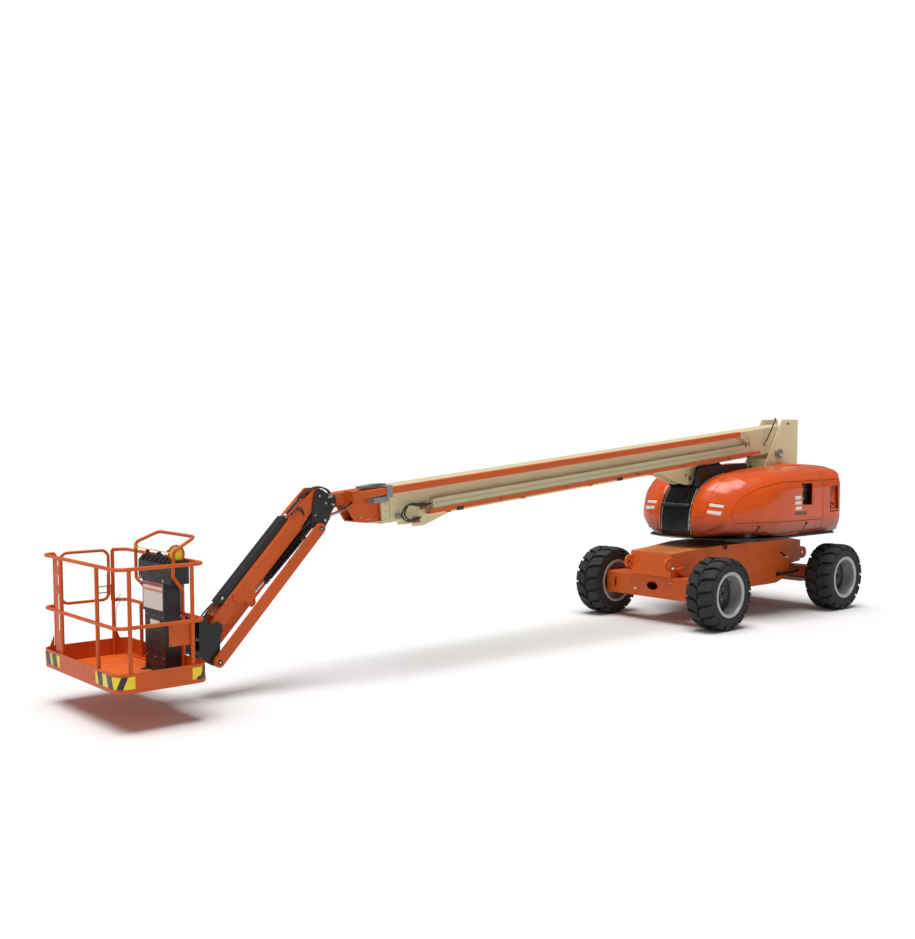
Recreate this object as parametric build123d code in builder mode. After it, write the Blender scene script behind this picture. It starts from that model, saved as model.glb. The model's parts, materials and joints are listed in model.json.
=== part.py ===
from build123d import *
from math import atan2, cos, degrees, hypot, pi, radians, sin
import os

# Telescopic boom lift, stowed. Millimetres, +Z up, ground at Z = 0.
# The origin is on the ground at the centre of the machine's bounding box.
# All lengths below are measured from the slew axis, which stands at X = SLEW_X.
# +X points to the counterweight and the steering axle, -X to the work platform,
# +Y to the machine's left.

os.makedirs("parts", exist_ok=True)

SLEW_X = 4281.0

# ---- wheels and axles
WHEELBASE = 3050.0
AXLE_X = WHEELBASE / 2
TRACK_Y = 1035.0            # tyre centre
TYRE_R, TYRE_W = 520.0, 420.0
RIM_R, FLANGE_R, RIM_W = 300.0, 328.0, 392.0
AXLE_Z = TYRE_R
KING_Y = 800.0              # kingpin axis
FIT = 0.05                  # radial running clearance of pins and shafts
SPINDLE_R = 45.0
STEER_ROD_X, STEER_ROD_Z = AXLE_X - 200.0, 452.0
STEER_EYE_Y = 740.0

# ---- chassis box
CH_TOP, CH_LOW, CH_WALL = 1110.0, 420.0, 22.0

# ---- turntable
DECK_Z = 1212.0
HOOD_IN, HOOD_OUT = 280.0, 1150.0
HOOD_T = 14.0

# ---- boom: pivot, slope and the (u, v) axes, u to the tip and v square to it
PIVOT = (1206.0, 2466.0)
SLOPE = 5.2
EX, EZ = -cos(radians(SLOPE)), -sin(radians(SLOPE))
NX, NZ = -sin(radians(SLOPE)), cos(radians(SLOPE))
BASE = dict(w=340.0, low=20.0, top=450.0, t=10.0, tail=-220.0, tip=8030.0)
MID = dict(w=286.0, low=48.0, top=422.0, t=8.0, tail=300.0, tip=8156.0)
FLY = dict(w=230.0, low=74.0, top=396.0, t=7.0, tail=480.0, tip=8164.0)

# ---- jib pins in (x, z)
P_FLY = (-7613.0, 2057.0)   # level bracket on the fly nose
P_J = (-7791.0, 2115.0)     # jib arm, upper
P_J2 = (-9104.0, 768.0)     # jib arm, lower
P_L = (-7805.0, 1748.0)     # link, upper
P_L2 = (-9118.0, 401.0)     # link, lower
P_C = (-7790.0, 1812.0)     # jib cylinder, upper
P_D = (-8695.0, 975.0)      # jib cylinder, rod eye
P_S = (-7716.0, 1827.0)     # slave cylinder's fork
P_LIFT = (750.0, 1420.0)    # lift cylinder's foot
BRACKET_Y, BRACKET_T = 121.0, 18.0
ARM_Y = 115.0
BAR_Y0, BAR_Y1 = 147.0, 195.0

# ---- platform
ROT_X = -9428.0
PAN = dict(x0=-10604.0, x1=-9641.0, y=915.0, z0=397.0, z1=587.0, r=120.0)
RAIL_R = 19.0
TOP_Z, MID_Z = 1561.0, 1010.0


# ------------------------------------------------------------------ planes
def side(y=0.0):
    """X-Z plane at y, local (x, z), normal -Y."""
    return Plane(origin=(SLEW_X, y, 0), x_dir=(1, 0, 0), z_dir=(0, -1, 0))


def level(z, x=0.0, y=0.0):
    """Horizontal plane at z."""
    return Plane(origin=(SLEW_X + x, y, z))


def across(x):
    """Y-Z plane at x, local (y, z), normal +X."""
    return Plane(origin=(SLEW_X + x, 0, 0), x_dir=(0, 1, 0), z_dir=(1, 0, 0))


def uv(u, v):
    return (PIVOT[0] + u * EX + v * NX, PIVOT[1] + u * EZ + v * NZ)


def boom_side(y=0.0):
    """Side plane of the boom, local (u, v), normal +Y."""
    return Plane(origin=(SLEW_X + PIVOT[0], y, PIVOT[1]), x_dir=(EX, 0, EZ), z_dir=(0, 1, 0))


def boom_cut(u):
    """Cross section of the boom at u, local (-y, v), normal along +u."""
    x, z = uv(u, 0)
    return Plane(origin=(SLEW_X + x, 0, z), x_dir=(0, -1, 0), z_dir=(EX, 0, EZ))


def arm_frame(p, q, y=0.0):
    """Side plane with local x from p to q and local y to its upper side, normal +Y."""
    d = hypot(q[0] - p[0], q[1] - p[1])
    return Plane(origin=(SLEW_X + p[0], y, p[1]), x_dir=((q[0] - p[0]) / d, 0, (q[1] - p[1]) / d), z_dir=(0, 1, 0))


# ------------------------------------------------- shapes for the active part
def slab(points, plane, depth, mode=Mode.ADD, both=False):
    """Polygon on a plane, extruded along its normal."""
    with BuildSketch(plane) as sk:
        Polygon(*points, align=None)
    extrude(sk.sketch, amount=depth, both=both, mode=mode)


def plates(points, frame, y0, y1, mode=Mode.ADD):
    """The same plate on both sides, from |y| = y0 to y1; frame is a side plane maker with normal +Y."""
    slab(points, frame(y0), y1 - y0, mode)
    slab(points, frame(-y1), y1 - y0, mode)


def disc(center, direction, r, depth, mode=Mode.ADD):
    """Cylinder that starts at a point of the machine frame."""
    with BuildSketch(Plane(origin=(SLEW_X + center[0], center[1], center[2]), z_dir=direction)) as sk:
        Circle(r)
    extrude(sk.sketch, amount=depth, mode=mode)


def pin(p, r, y0, y1, mode=Mode.ADD):
    """Cylinder along Y at (x, z), from y0 to y1."""
    disc((p[0], y0, p[1]), (0, 1, 0), r, y1 - y0, mode)


def bar(p, q, r, mode=Mode.ADD):
    """Round bar between two points of the machine frame."""
    d = Vector(*q) - Vector(*p)
    disc(p, tuple(d.normalized()), r, d.length, mode)


def block(x0, x1, y0, y1, z0, z1, mode=Mode.ADD):
    with BuildSketch(level(z0)) as sk:
        Polygon((x0, y0), (x1, y0), (x1, y1), (x0, y1), align=None)
    extrude(sk.sketch, amount=z1 - z0, mode=mode)


def side_up(y):
    """X-Z plane with normal +Y, local (-x, z)."""
    return Plane(origin=(SLEW_X, y, 0), x_dir=(-1, 0, 0), z_dir=(0, 1, 0))


def flip(points):
    return [(-x, z) for x, z in points]


def capsule(p, q, r, n=10):
    """Outline of a bar with round ends, from p to q."""
    a = atan2(q[1] - p[1], q[0] - p[0])
    pts = [(q[0] + r * cos(a - pi / 2 + pi * i / n), q[1] + r * sin(a - pi / 2 + pi * i / n)) for i in range(n + 1)]
    pts += [(p[0] + r * cos(a + pi / 2 + pi * i / n), p[1] + r * sin(a + pi / 2 + pi * i / n)) for i in range(n + 1)]
    return pts


def save(builder, name):
    builder.part.label = name
    export_step(builder.part, f"parts/{name}.step")


# ================================================================= CHASSIS
CH_SIDE = [  # x, z
    (-1760, 696), (-1760, 1045), (-700, CH_TOP), (1180, CH_TOP), (1500, 1060), (1500, 720),
    (1180, 700), (1120, 500), (760, CH_LOW), (-1310, CH_LOW), (-1310, 696),
]
CH_PLAN = [  # x, half width
    (-1770, 370), (-1300, 395), (-500, 490), (500, 500), (1510, 450),
]
CH_INSIDE = [  # x, z of the hollow, open underneath
    (-1738, 600), (-1738, 1022), (-700, CH_TOP - CH_WALL), (1180, CH_TOP - CH_WALL), (1478, 1040), (1478, 300), (-1738, 300),
]
LUG_HOLE_R, LUG_T, LUG_R = 35.0, 30.0, 95.0
LUGS = [  # x of the nose, x of the root, |y| of the middle, hole z
    (-1905, -1700, 360, 885), (1690, 1440, 432, 850),
]
with BuildPart() as chassis_frame:
    slab(CH_SIDE, side(600), 1200)
    plan = CH_PLAN + [(x, -y) for x, y in reversed(CH_PLAN)]
    slab(plan, level(300), 1000, Mode.INTERSECT)
    # plate walls all round: the hollow keeps clear of both outlines
    inner = [(-1738, 372 - CH_WALL)] + [(x, y - CH_WALL) for x, y in CH_PLAN[1:-1]] + [(1478, 430)]
    inner = inner + [(x, -y) for x, y in reversed(inner)]
    with BuildPart(mode=Mode.PRIVATE) as hollow:
        slab(CH_INSIDE, side(600), 1200)
        slab(inner, level(300), 1000, Mode.INTERSECT)
    add(hollow.part, mode=Mode.SUBTRACT)
    # cross members, and the plate that the lock cylinders hang from
    for x, half, low, top in ((-1300, 385, 470, 1060), (-560, 475, 470, 1100), (560, 485, 470, 1100), (1110, 460, 560, 1100)):
        block(x - 11, x + 11, -half, half, low, top)
    block(1355, 1475, -440, 440, 1000, 1018)
    # tie-down lugs, front and rear
    for x0, x1, y0, zc in LUGS:
        s = 1 if x1 > x0 else -1
        for y in (y0 - LUG_T / 2, -y0 - LUG_T / 2):
            nose = [(x0 + s * LUG_R * (1 - cos(radians(a))), zc + LUG_R * sin(radians(a))) for a in range(-90, 91, 15)]
            slab(flip([(x1, zc - LUG_R - 8)] + nose + [(x1, zc + LUG_R + 8)]), side_up(y), LUG_T)
            pin((x0 + s * LUG_R, zc), LUG_HOLE_R, y, y + LUG_T, Mode.SUBTRACT)
    # bearing seat under the slewing ring
    with BuildSketch(level(1060)) as seat:
        Circle(495)
        Circle(330, mode=Mode.SUBTRACT)
    extrude(seat.sketch, amount=60)
    # bracket and pin that the steering axle swings on
    block(AXLE_X - 235, AXLE_X - 195, -120, 120, 505, 1085)
    disc((AXLE_X - 235, 0, 575), (1, 0, 0), 38, 95)
save(chassis_frame, "chassis_frame")

with BuildPart() as slew_ring:
    with BuildSketch(level(1120)) as s0:
        Circle(520)
        Circle(405, mode=Mode.SUBTRACT)
    extrude(s0.sketch, amount=42)
save(slew_ring, "slew_ring")

with BuildPart() as rear_axle:
    slab(flip([(-1720, 365), (-1335, 365), (-1335, 695), (-1720, 695)]), side_up(-870), 1740)
    fillet(rear_axle.edges().filter_by(Axis.Y), 14)
    # hollow beam, open to the back
    block(-1700, -1320, -840, 840, 385, 675, Mode.SUBTRACT)
    block(-1352, -1334, -840, 840, 372, 688)
    # oval access hole in the middle of the front face
    with BuildSketch(across(-1760)) as oval:
        with Locations((0, 540)):
            Ellipse(105, 62)
    extrude(oval.sketch, amount=80, mode=Mode.SUBTRACT)
    # slotted holes near the ends
    for y in (-700, 700):
        block(-1760, -1690, y - 18, y + 18, 465, 600, Mode.SUBTRACT)
    for s in (1, -1):
        # wheel motor housing and spindle
        disc((-AXLE_X, s * 869, AXLE_Z), (0, s, 0), 150, 14)
        disc((-AXLE_X, s * 700, AXLE_Z), (0, s, 0), 110, 170)
        disc((-AXLE_X, s * 880, AXLE_Z), (0, s, 0), SPINDLE_R, 150)
save(rear_axle, "rear_axle")

with BuildPart() as front_axle:
    block(AXLE_X - 160, AXLE_X + 160, -640, 640, 400, 645)
    fillet(front_axle.edges().filter_by(Axis.Y), 16)
    block(AXLE_X - 140, AXLE_X + 180, -620, 620, 420, 625, Mode.SUBTRACT)
    block(AXLE_X + 128, AXLE_X + 148, -620, 620, 408, 637)
    # boss on the chassis pin
    disc((AXLE_X - 172, 0, 575), (1, 0, 0), 72, 34)
    disc((AXLE_X - 173, 0, 575), (1, 0, 0), 38 + FIT, 36, Mode.SUBTRACT)
    for s in (1, -1):
        y0, y1 = sorted((s * 618, s * 700))
        block(AXLE_X - 75, AXLE_X + 75, y0, y1, 335, 705)
        # yoke arms round the kingpin
        for z0, z1 in ((655, 705), (335, 385)):
            y0, y1 = sorted((s * 690, s * KING_Y))
            block(AXLE_X - 75, AXLE_X + 75, y0, y1, z0, z1)
            disc((AXLE_X, s * KING_Y, z0), (0, 0, 1), 75, z1 - z0)
            disc((AXLE_X, s * KING_Y, z0 - 1), (0, 0, 1), 30 + FIT, z1 - z0 + 2, Mode.SUBTRACT)
        # room for the steering arm at full lock
        y0, y1 = sorted((s * 555, s * 645))
        block(AXLE_X - 165, AXLE_X - 78, y0, y1, 380, 484, Mode.SUBTRACT)
        y0, y1 = sorted((s * 635, s * 702))
        block(AXLE_X - 80, AXLE_X - 28, y0, y1, 385, 426, Mode.SUBTRACT)
        # lock cylinder pads
        y0, y1 = sorted((s * 280, s * 360))
        block(AXLE_X - 150, AXLE_X - 70, y0, y1, 640, 665)
save(front_axle, "front_axle")

with BuildPart() as axle_cylinders:
    # two lock cylinders between chassis and steering axle, and the steering cylinder
    for y in (-320, 320):
        disc((AXLE_X - 110, y, 665), (0, 0, 1), 22, 130)
        disc((AXLE_X - 110, y, 770), (0, 0, 1), 42, 230)
    disc((STEER_ROD_X, -240, STEER_ROD_Z), (0, 1, 0), 38, 480)
    for y in (-210, 170):
        block(STEER_ROD_X, AXLE_X - 160, y, y + 40, STEER_ROD_Z - 30, STEER_ROD_Z + 30)
    disc((STEER_ROD_X, -241, STEER_ROD_Z), (0, 1, 0), 18 + FIT, 482, Mode.SUBTRACT)
save(axle_cylinders, "axle_cylinders")

with BuildPart() as steering_rod:
    disc((STEER_ROD_X, -STEER_EYE_Y, STEER_ROD_Z), (0, 1, 0), 18, 2 * STEER_EYE_Y)
    for s in (1, -1):
        disc((STEER_ROD_X, s * STEER_EYE_Y, STEER_ROD_Z - 22), (0, 0, 1), 38, 44)
save(steering_rod, "steering_rod")

for tag, s in (("left", 1), ("right", -1)):
    with BuildPart() as knuckle:
        disc((AXLE_X, s * KING_Y, 392), (0, 0, 1), 70, 256)
        disc((AXLE_X, s * KING_Y, 332), (0, 0, 1), 30, 376)
        disc((AXLE_X, s * KING_Y, AXLE_Z), (0, s, 0), 110, 83)
        disc((AXLE_X, s * 880, AXLE_Z), (0, s, 0), SPINDLE_R, 150)
        # steering arm under the rod's eye
        slab(capsule((AXLE_X, s * KING_Y), (STEER_ROD_X, s * STEER_EYE_Y), 34), level(392), 26)
    save(knuckle, f"steering_knuckle_{tag}")

WHEELS = [  # tag, axle x, side
    ("front_left", AXLE_X, 1), ("front_right", AXLE_X, -1),
    ("rear_left", -AXLE_X, 1), ("rear_right", -AXLE_X, -1),
]
TYRE_SECTION = [  # radius, half width
    (RIM_R + 1, 192), (340, 194), (380, 206), (430, 210), (478, 208), (505, 192), (TYRE_R, 168),
]
RIM_SECTION = [  # radius, distance outboard of the tyre's centre
    (RIM_R, 194), (FLANGE_R, 195), (FLANGE_R, 205), (288, 205), (278, 190), (286, 120), (270, 20), (262, -35),
    (150, -48), (132, -48), (132, -64), (262, -64), (284, -60), (288, -190), (288, -205), (FLANGE_R, -205),
    (FLANGE_R, -195), (RIM_R, -194),
]
for tag, x, s in WHEELS:
    hub_plane = Plane(origin=(SLEW_X + x, s * TRACK_Y, AXLE_Z), x_dir=(0, 0, 1), z_dir=(-s, 0, 0))
    # local x is the radius (up), local y points outboard
    spin = Axis((SLEW_X + x, 0, AXLE_Z), (0, 1, 0))
    with BuildPart() as tyre:
        with BuildSketch(hub_plane) as ts:
            pts = TYRE_SECTION + [(r, -w) for r, w in reversed(TYRE_SECTION)]
            Polygon(*pts, align=None)
        revolve(ts.sketch, axis=spin)
    save(tyre, f"tyre_{tag}")
    with BuildPart() as rim:
        with BuildSketch(hub_plane) as rs:
            Polygon(*RIM_SECTION, align=None)
        revolve(rs.sketch, axis=spin)
    save(rim, f"rim_{tag}")
    with BuildPart() as hub:
        c = s * TRACK_Y
        disc((x, c - s * 145, AXLE_Z), (0, s, 0), 131, 100)
        disc((x, c - s * 47, AXLE_Z), (0, s, 0), 148, 22)
        disc((x, c - s * 47, AXLE_Z), (0, s, 0), 140, 100)
        disc((x, c + s * 50, AXLE_Z), (0, s, 0), 112, 32)
        disc((x, c - s * 146, AXLE_Z), (0, s, 0), SPINDLE_R + FIT, 150, Mode.SUBTRACT)
    save(hub, f"hub_{tag}")

# =============================================================== TURNTABLE
with BuildPart() as turntable_deck:
    # inner bearing ring, deck plate and its two long ribs
    disc((0, 0, 1128), (0, 0, 1), 398, 41)
    disc((0, 0, 1167), (0, 0, 1), 500, 26)
    disc((0, 0, 1190), (0, 0, 1), 430, 22)
    slab([(-1100, 250), (-900, 700), (-300, 1040), (1500, 1040), (1500, -1040), (-300, -1040), (-900, -700), (-1100, -250)],
         level(DECK_Z), 26)
    for s in (1, -1):
        y0, y1 = sorted((s * 262, s * 276))
        block(-1080, 900, y0, y1, DECK_Z + 26, DECK_Z + 250)
save(turntable_deck, "turntable_deck")

UPRIGHT = [  # x, z
    (430, 1239), (430, 1480), (560, 1620), (835, 2280), (1300, 3015), (1750, 3015), (1750, 2250), (1500, 1900), (1500, 1239),
]
with BuildPart() as uprights:
    for y in (175, -200):
        slab(flip(UPRIGHT), side_up(y), 25)
    # cross plates low down, behind the lift cylinder's foot
    block(1120, 1145, -180, 180, 1239, 1850)
    slab(flip([(1120, 1820), (1480, 1860), (1480, 1885), (1120, 1850)]), side_up(-180), 360)
    # main boom pin and lift cylinder foot pin
    pin(PIVOT, 60 - FIT, -232, 232)
    for s in (1, -1):
        y0, y1 = sorted((s * 200, s * 214))
        pin(PIVOT, 96, y0, y1)
    pin(P_LIFT, 40, -214, 214)
    # foot pin of the master levelling cylinder
    pin((900, 1750), 16, 100, 180)
    # the small pins at the top, used to lock the boom for transport
    for s in (1, -1):
        y0, y1 = sorted((s * 199, s * 214))
        pin((1430, 2944), 34, y0, y1)
save(uprights, "uprights")

# ---- hoods: side, plan and cross outlines whose common volume is the shell
HOOD_SIDE = [  # x, z
    (-1085, 1238), (-1175, 1300), (-1230, 1400), (-1240, 1540), (-1190, 1700), (-1085, 1880), (-920, 2035),
    (-700, 2145), (-400, 2190), (160, 2240), (730, 2290), (975, 2305), (975, 1238),
]
HOOD_PLAN = [  # x, |y|
    (-1250, HOOD_IN), (-1250, 500), (-1130, 640), (-940, 790), (-700, 935), (-420, 1060), (-150, 1128), (120, HOOD_OUT),
    (975, HOOD_OUT), (975, HOOD_IN),
]
HOOD_CROSS = [  # |y|, z
    (HOOD_IN, 1200), (1010, 1200), (1100, 1340), (HOOD_OUT, 1460), (HOOD_OUT, 1980), (1115, 2110), (1020, 2215),
    (880, 2275), (700, 2300), (HOOD_IN, 2330),
]


def hood_solid(s, t=0.0):
    """Common volume of the three outlines, each moved inwards by t; t also opens the inner wall and floor."""
    with BuildPart() as h:
        with BuildSketch(side_up(0)) as a:
            Polygon(*flip(HOOD_SIDE), align=None)
            if t:
                offset(amount=-t, kind=Kind.INTERSECTION, mode=Mode.REPLACE)
        extrude(a.sketch, amount=1300 * s)
        with BuildSketch(level(1000)) as b:
            Polygon(*[(x, s * y) for x, y in HOOD_PLAN], align=None)
            if t:
                offset(amount=-t, kind=Kind.INTERSECTION, mode=Mode.REPLACE)
        extrude(b.sketch, amount=1500, mode=Mode.INTERSECT)
        with BuildSketch(across(-1400)) as c:
            Polygon(*[(s * y, z) for y, z in HOOD_CROSS], align=None)
            if t:
                offset(amount=-t, kind=Kind.INTERSECTION, mode=Mode.REPLACE)
        extrude(c.sketch, amount=2600, mode=Mode.INTERSECT)
    return h


DOOR = [  # x, z: outline of the side door, below the curved seam
    (-835, 1480), (-905, 1570), (-905, 1615), (-855, 1712), (-742, 1850), (-566, 1946), (-415, 2000), (-118, 2056),
    (363, 2068), (952, 2068), (952, 1480),
]
DOOR_GAP = 7.0
for tag, s in (("left", 1), ("right", -1)):
    with BuildPart() as hood:
        add(hood_solid(s).part)
        add(hood_solid(s, HOOD_T).part, mode=Mode.SUBTRACT)
        # open at the tail, where the counterweight closes it
        y0, y1 = sorted((s * (HOOD_IN + 14), s * 1060))
        block(900, 1000, y0, y1, 1252, 2190, Mode.SUBTRACT)
        # open floor: the deck plate closes it
        y0, y1 = sorted((s * (HOOD_IN + 14), s * 1040))
        block(-1090, 1000, y0, y1, 1200, 1262, Mode.SUBTRACT)
        # the door's opening
        with BuildSketch(side_up(s * 600)) as hole:
            Polygon(*flip(DOOR), align=None)
            offset(amount=DOOR_GAP, kind=Kind.INTERSECTION, mode=Mode.REPLACE)
        extrude(hole.sketch, amount=s * 700, mode=Mode.SUBTRACT)
        # wider gap under the door, so that its lower edge swings out freely
        y0, y1 = sorted((s * 600, s * 1300))
        block(-840, 959, y0, y1, 1455, 1480, Mode.SUBTRACT)
        slab(flip([(-800, 1455), (-856, 1455), (-928, 1548), (-930, 1612), (-890, 1600), (-800, 1500)]),
             side_up(s * 600), s * 700, Mode.SUBTRACT)
    save(hood, f"hood_{tag}")
    with BuildPart() as door:
        add(hood_solid(s).part)
        add(hood_solid(s, HOOD_T + 8).part, mode=Mode.SUBTRACT)
        with BuildSketch(side_up(s * 600)) as cutter:
            Polygon(*flip(DOOR), align=None)
        extrude(cutter.sketch, amount=s * 700, mode=Mode.INTERSECT)
        # window over the ground controls
        y0, y1 = sorted((s * 1000, s * 1300))
        block(400, 690, y0, y1, 1705, 2025, Mode.SUBTRACT)
    save(door, f"hood_door_{tag}")

TAIL_SIDE = [  # x, z
    (985, 1240), (985, 2305), (1250, 2318), (1470, 2290), (1560, 2225), (1605, 2120), (1690, 1700), (1715, 1500), (1700, 1400),
    (1600, 1262), (1540, 1240),
]
TAIL_PLAN = [  # x, |y|
    (985, HOOD_OUT), (1300, HOOD_OUT), (1520, 1120), (1640, 1030), (1700, 850), (1722, 500), (1722, -500), (1700, -850),
    (1640, -1030), (1520, -1120), (1300, -HOOD_OUT), (985, -HOOD_OUT),
]
with BuildPart() as counterweight:
    slab(flip(TAIL_SIDE), side_up(-1200), 2400)
    slab(TAIL_PLAN, level(1100), 1300, Mode.INTERSECT)
    cross = HOOD_CROSS + [(-y, z) for y, z in reversed(HOOD_CROSS)]
    slab(cross, across(900), 900, Mode.INTERSECT)
    # slot for the boom's tail and the uprights
    block(980, 1760, -232, 232, 1640, 2400, Mode.SUBTRACT)
    block(980, 1515, -232, 232, 1239, 1700, Mode.SUBTRACT)
    # recessed panels at the rear corners
    for s in (1, -1):
        y0, y1 = sorted((s * 1085, s * 1200))
        block(1180, 1500, y0, y1, 1560, 1985, Mode.SUBTRACT)
    # room in front for engine and tank
    for s in (1, -1):
        y0, y1 = sorted((s * 300, s * 1100))
        block(980, 1120, y0, y1, 1262, 2180, Mode.SUBTRACT)
save(counterweight, "counterweight")

with BuildPart() as engine:
    block(-480, 620, 420, 860, DECK_Z + 60, 1930)
    for x in (-420, 480):
        for y in (480, 800):
            disc((x, y, DECK_Z + 26), (0, 0, 1), 55, 40)
save(engine, "engine")

with BuildPart() as fluid_tanks:
    block(-600, -60, -860, -420, DECK_Z + 27, 1880)
    block(0, 340, -860, -420, DECK_Z + 27, 1780)
    fillet(fluid_tanks.edges().filter_by(Axis.Z), 40)
save(fluid_tanks, "fluid_tanks")

with BuildPart() as ground_controls:
    block(380, 710, -1040, -900, 1650, 2035)
    block(450, 640, -910, -700, DECK_Z + 27, 1720)
save(ground_controls, "ground_controls")

with BuildPart() as front_panel:
    # dark panel between the hoods, leaning back at the top
    slab(flip([(-1150, 1239), (-1200, 1330), (-1200, 1500), (-1160, 1690), (-1090, 1840), (-985, 1985), (-965, 1975),
               (-1070, 1830), (-1140, 1682), (-1178, 1500), (-1178, 1335), (-1125, 1239)]), side_up(-258), 516)
    block(-1195, -1130, -258, 258, 1705, 1740)
save(front_panel, "front_panel")

with BuildPart() as centre_cowls:
    for y0, y1 in ((-272, -205), (205, 272)):
        with BuildSketch(side_up(y0)) as cw:
            Polygon(*flip([(-955, 1700), (-955, 1995), (-1030, 1995), (-1030, 2200), (-985, 2270), (-900, 2292), (250, 2318), (250, 1700)]), align=None)
        extrude(cw.sketch, amount=y1 - y0)
save(centre_cowls, "centre_cowls")

# ---- lift cylinder, from its foot between the uprights to the boom's belly lug
G_LIFT = uv(2272, -139)
lift_len = hypot(G_LIFT[0] - P_LIFT[0], G_LIFT[1] - P_LIFT[1])
ld = ((G_LIFT[0] - P_LIFT[0]) / lift_len, 0, (G_LIFT[1] - P_LIFT[1]) / lift_len)


def lift_at(s):
    return (P_LIFT[0] + ld[0] * s, 0, P_LIFT[1] + ld[2] * s)


with BuildPart() as lift_cylinder_barrel:
    disc(lift_at(70), ld, 98, 1610)
    pin(P_LIFT, 92, -120, 120)
    pin(P_LIFT, 40 + FIT, -121, 121, Mode.SUBTRACT)
    disc(lift_at(110), ld, 55 + FIT, 1600, Mode.SUBTRACT)
save(lift_cylinder_barrel, "lift_cylinder_barrel")
with BuildPart() as lift_cylinder_rod:
    disc(lift_at(130), ld, 55, lift_len - 130)
    pin(G_LIFT, 78, -84, 84)
save(lift_cylinder_rod, "lift_cylinder_rod")

# ---- master levelling cylinder, beside the lift cylinder, from the left upright to the boom
P_M0, P_M1 = (900.0, 1750.0), uv(300, -80)
MASTER_Y = 130.0
m_len = hypot(P_M1[0] - P_M0[0], P_M1[1] - P_M0[1])
md = ((P_M1[0] - P_M0[0]) / m_len, 0, (P_M1[1] - P_M0[1]) / m_len)


def master_at(t):
    return (P_M0[0] + md[0] * t, MASTER_Y, P_M0[1] + md[2] * t)


with BuildPart() as level_master_barrel:
    disc(master_at(20), md, 30, 500)
    pin(P_M0, 32, MASTER_Y - 20, MASTER_Y + 20)
    pin(P_M0, 16 + FIT, MASTER_Y - 21, MASTER_Y + 21, Mode.SUBTRACT)
    disc(master_at(50), md, 15 + FIT, 500, Mode.SUBTRACT)
save(level_master_barrel, "level_master_barrel")
with BuildPart() as level_master_rod:
    disc(master_at(62), md, 15, m_len - 66)
    pin(P_M1, 26, MASTER_Y - 15, MASTER_Y + 15)
save(level_master_rod, "level_master_rod")

# ==================================================================== BOOM
BELLY_LUG = [  # u, v
    (2080, 22), (2150, -190), (2205, -232), (2340, -232), (2517, -178), (2960, 22),
]


def box_section(d, u0, u1, grow=0.0, t=None):
    """Hollow box of the boom from u0 to u1."""
    t = d["t"] if t is None else t
    with BuildSketch(boom_cut(u0)) as sk:
        with Locations((0, (d["low"] + d["top"]) / 2)):
            RectangleRounded(d["w"], d["top"] - d["low"], 24)
            RectangleRounded(d["w"] - 2 * t, d["top"] - d["low"] - 2 * t, 24 - t, mode=Mode.SUBTRACT)
    extrude(sk.sketch, amount=u1 - u0)


with BuildPart() as boom_base:
    box_section(BASE, BASE["tail"], BASE["tip"])
    # belly lugs of the lift cylinder, with the pin's ends
    plates(BELLY_LUG, boom_side, 92, 120)
    for s in (1, -1):
        y0, y1 = sorted((s * 86, s * 132))
        pin(G_LIFT, 40, y0, y1)
    # flare under the tip
    plates([(7080, 22), (7516, -85), (7673, -74), (7720, 22)], boom_side, 120, 150)
    slab([(7080, 22), (7516, -85), (7530, -72), (7130, 22)], boom_side(-120), 240)
    # lug of the master levelling cylinder
    for y in (101, 150):
        slab([(255, 21), (262, -100), (338, -100), (350, 21)], boom_side(y), 10)
    # pivot boss
    slab([(-175, 21), (-110, -60), (0, -92), (110, -60), (260, 21)], boom_side(-165), 330)
    pin(PIVOT, 92, -165, 165)
    pin(PIVOT, 60, -171, 171, Mode.SUBTRACT)
save(boom_base, "boom_base")

with BuildPart() as hose_tray:
    with BuildSketch(boom_cut(600)) as tr:
        Polygon((170, 58), (262, 58), (262, 112), (256, 112), (256, 64), (170, 64), align=None)
    extrude(tr.sketch, amount=6890)
    for u in (760, 1900, 3200, 4500, 5800, 7100):
        slab([(u, 26), (u + 60, 26), (u + 60, 58), (u, 58)], boom_side(-200), 30)
save(hose_tray, "hose_tray")

TRACK_Y0, TRACK_Y1 = -252.0, -176.0
with BuildPart() as power_track:
    # folded hose track: it lies in the tray and turns up to the push tube's end
    block_pts = [(1000, 66), (7420, 66), (7420, 232), (1000, 232)]
    slab(block_pts, boom_side(TRACK_Y0), TRACK_Y1 - TRACK_Y0)
    with BuildSketch(boom_side(TRACK_Y0)) as bend:
        with Locations((1000, 241)):
            Circle(175)
            Circle(60, mode=Mode.SUBTRACT)
        Polygon((1000, 0), (1500, 0), (1500, 600), (1000, 600), align=None, mode=Mode.SUBTRACT)
    extrude(bend.sketch, amount=TRACK_Y1 - TRACK_Y0)
    slab([(1000, 340), (1115, 340), (1115, 445), (1000, 445)], boom_side(TRACK_Y0), TRACK_Y1 - TRACK_Y0)
save(power_track, "power_track")

with BuildPart() as boom_mid:
    box_section(MID, MID["tail"], 8040)
    # collar ahead of the base section
    with BuildSketch(boom_cut(8036)) as col:
        with Locations((0, 235)):
            RectangleRounded(336, 426, 24)
            RectangleRounded(MID["w"] - 2 * MID["t"], MID["top"] - MID["low"] - 2 * MID["t"], 16, mode=Mode.SUBTRACT)
    extrude(col.sketch, amount=114)
save(boom_mid, "boom_mid")

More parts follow.
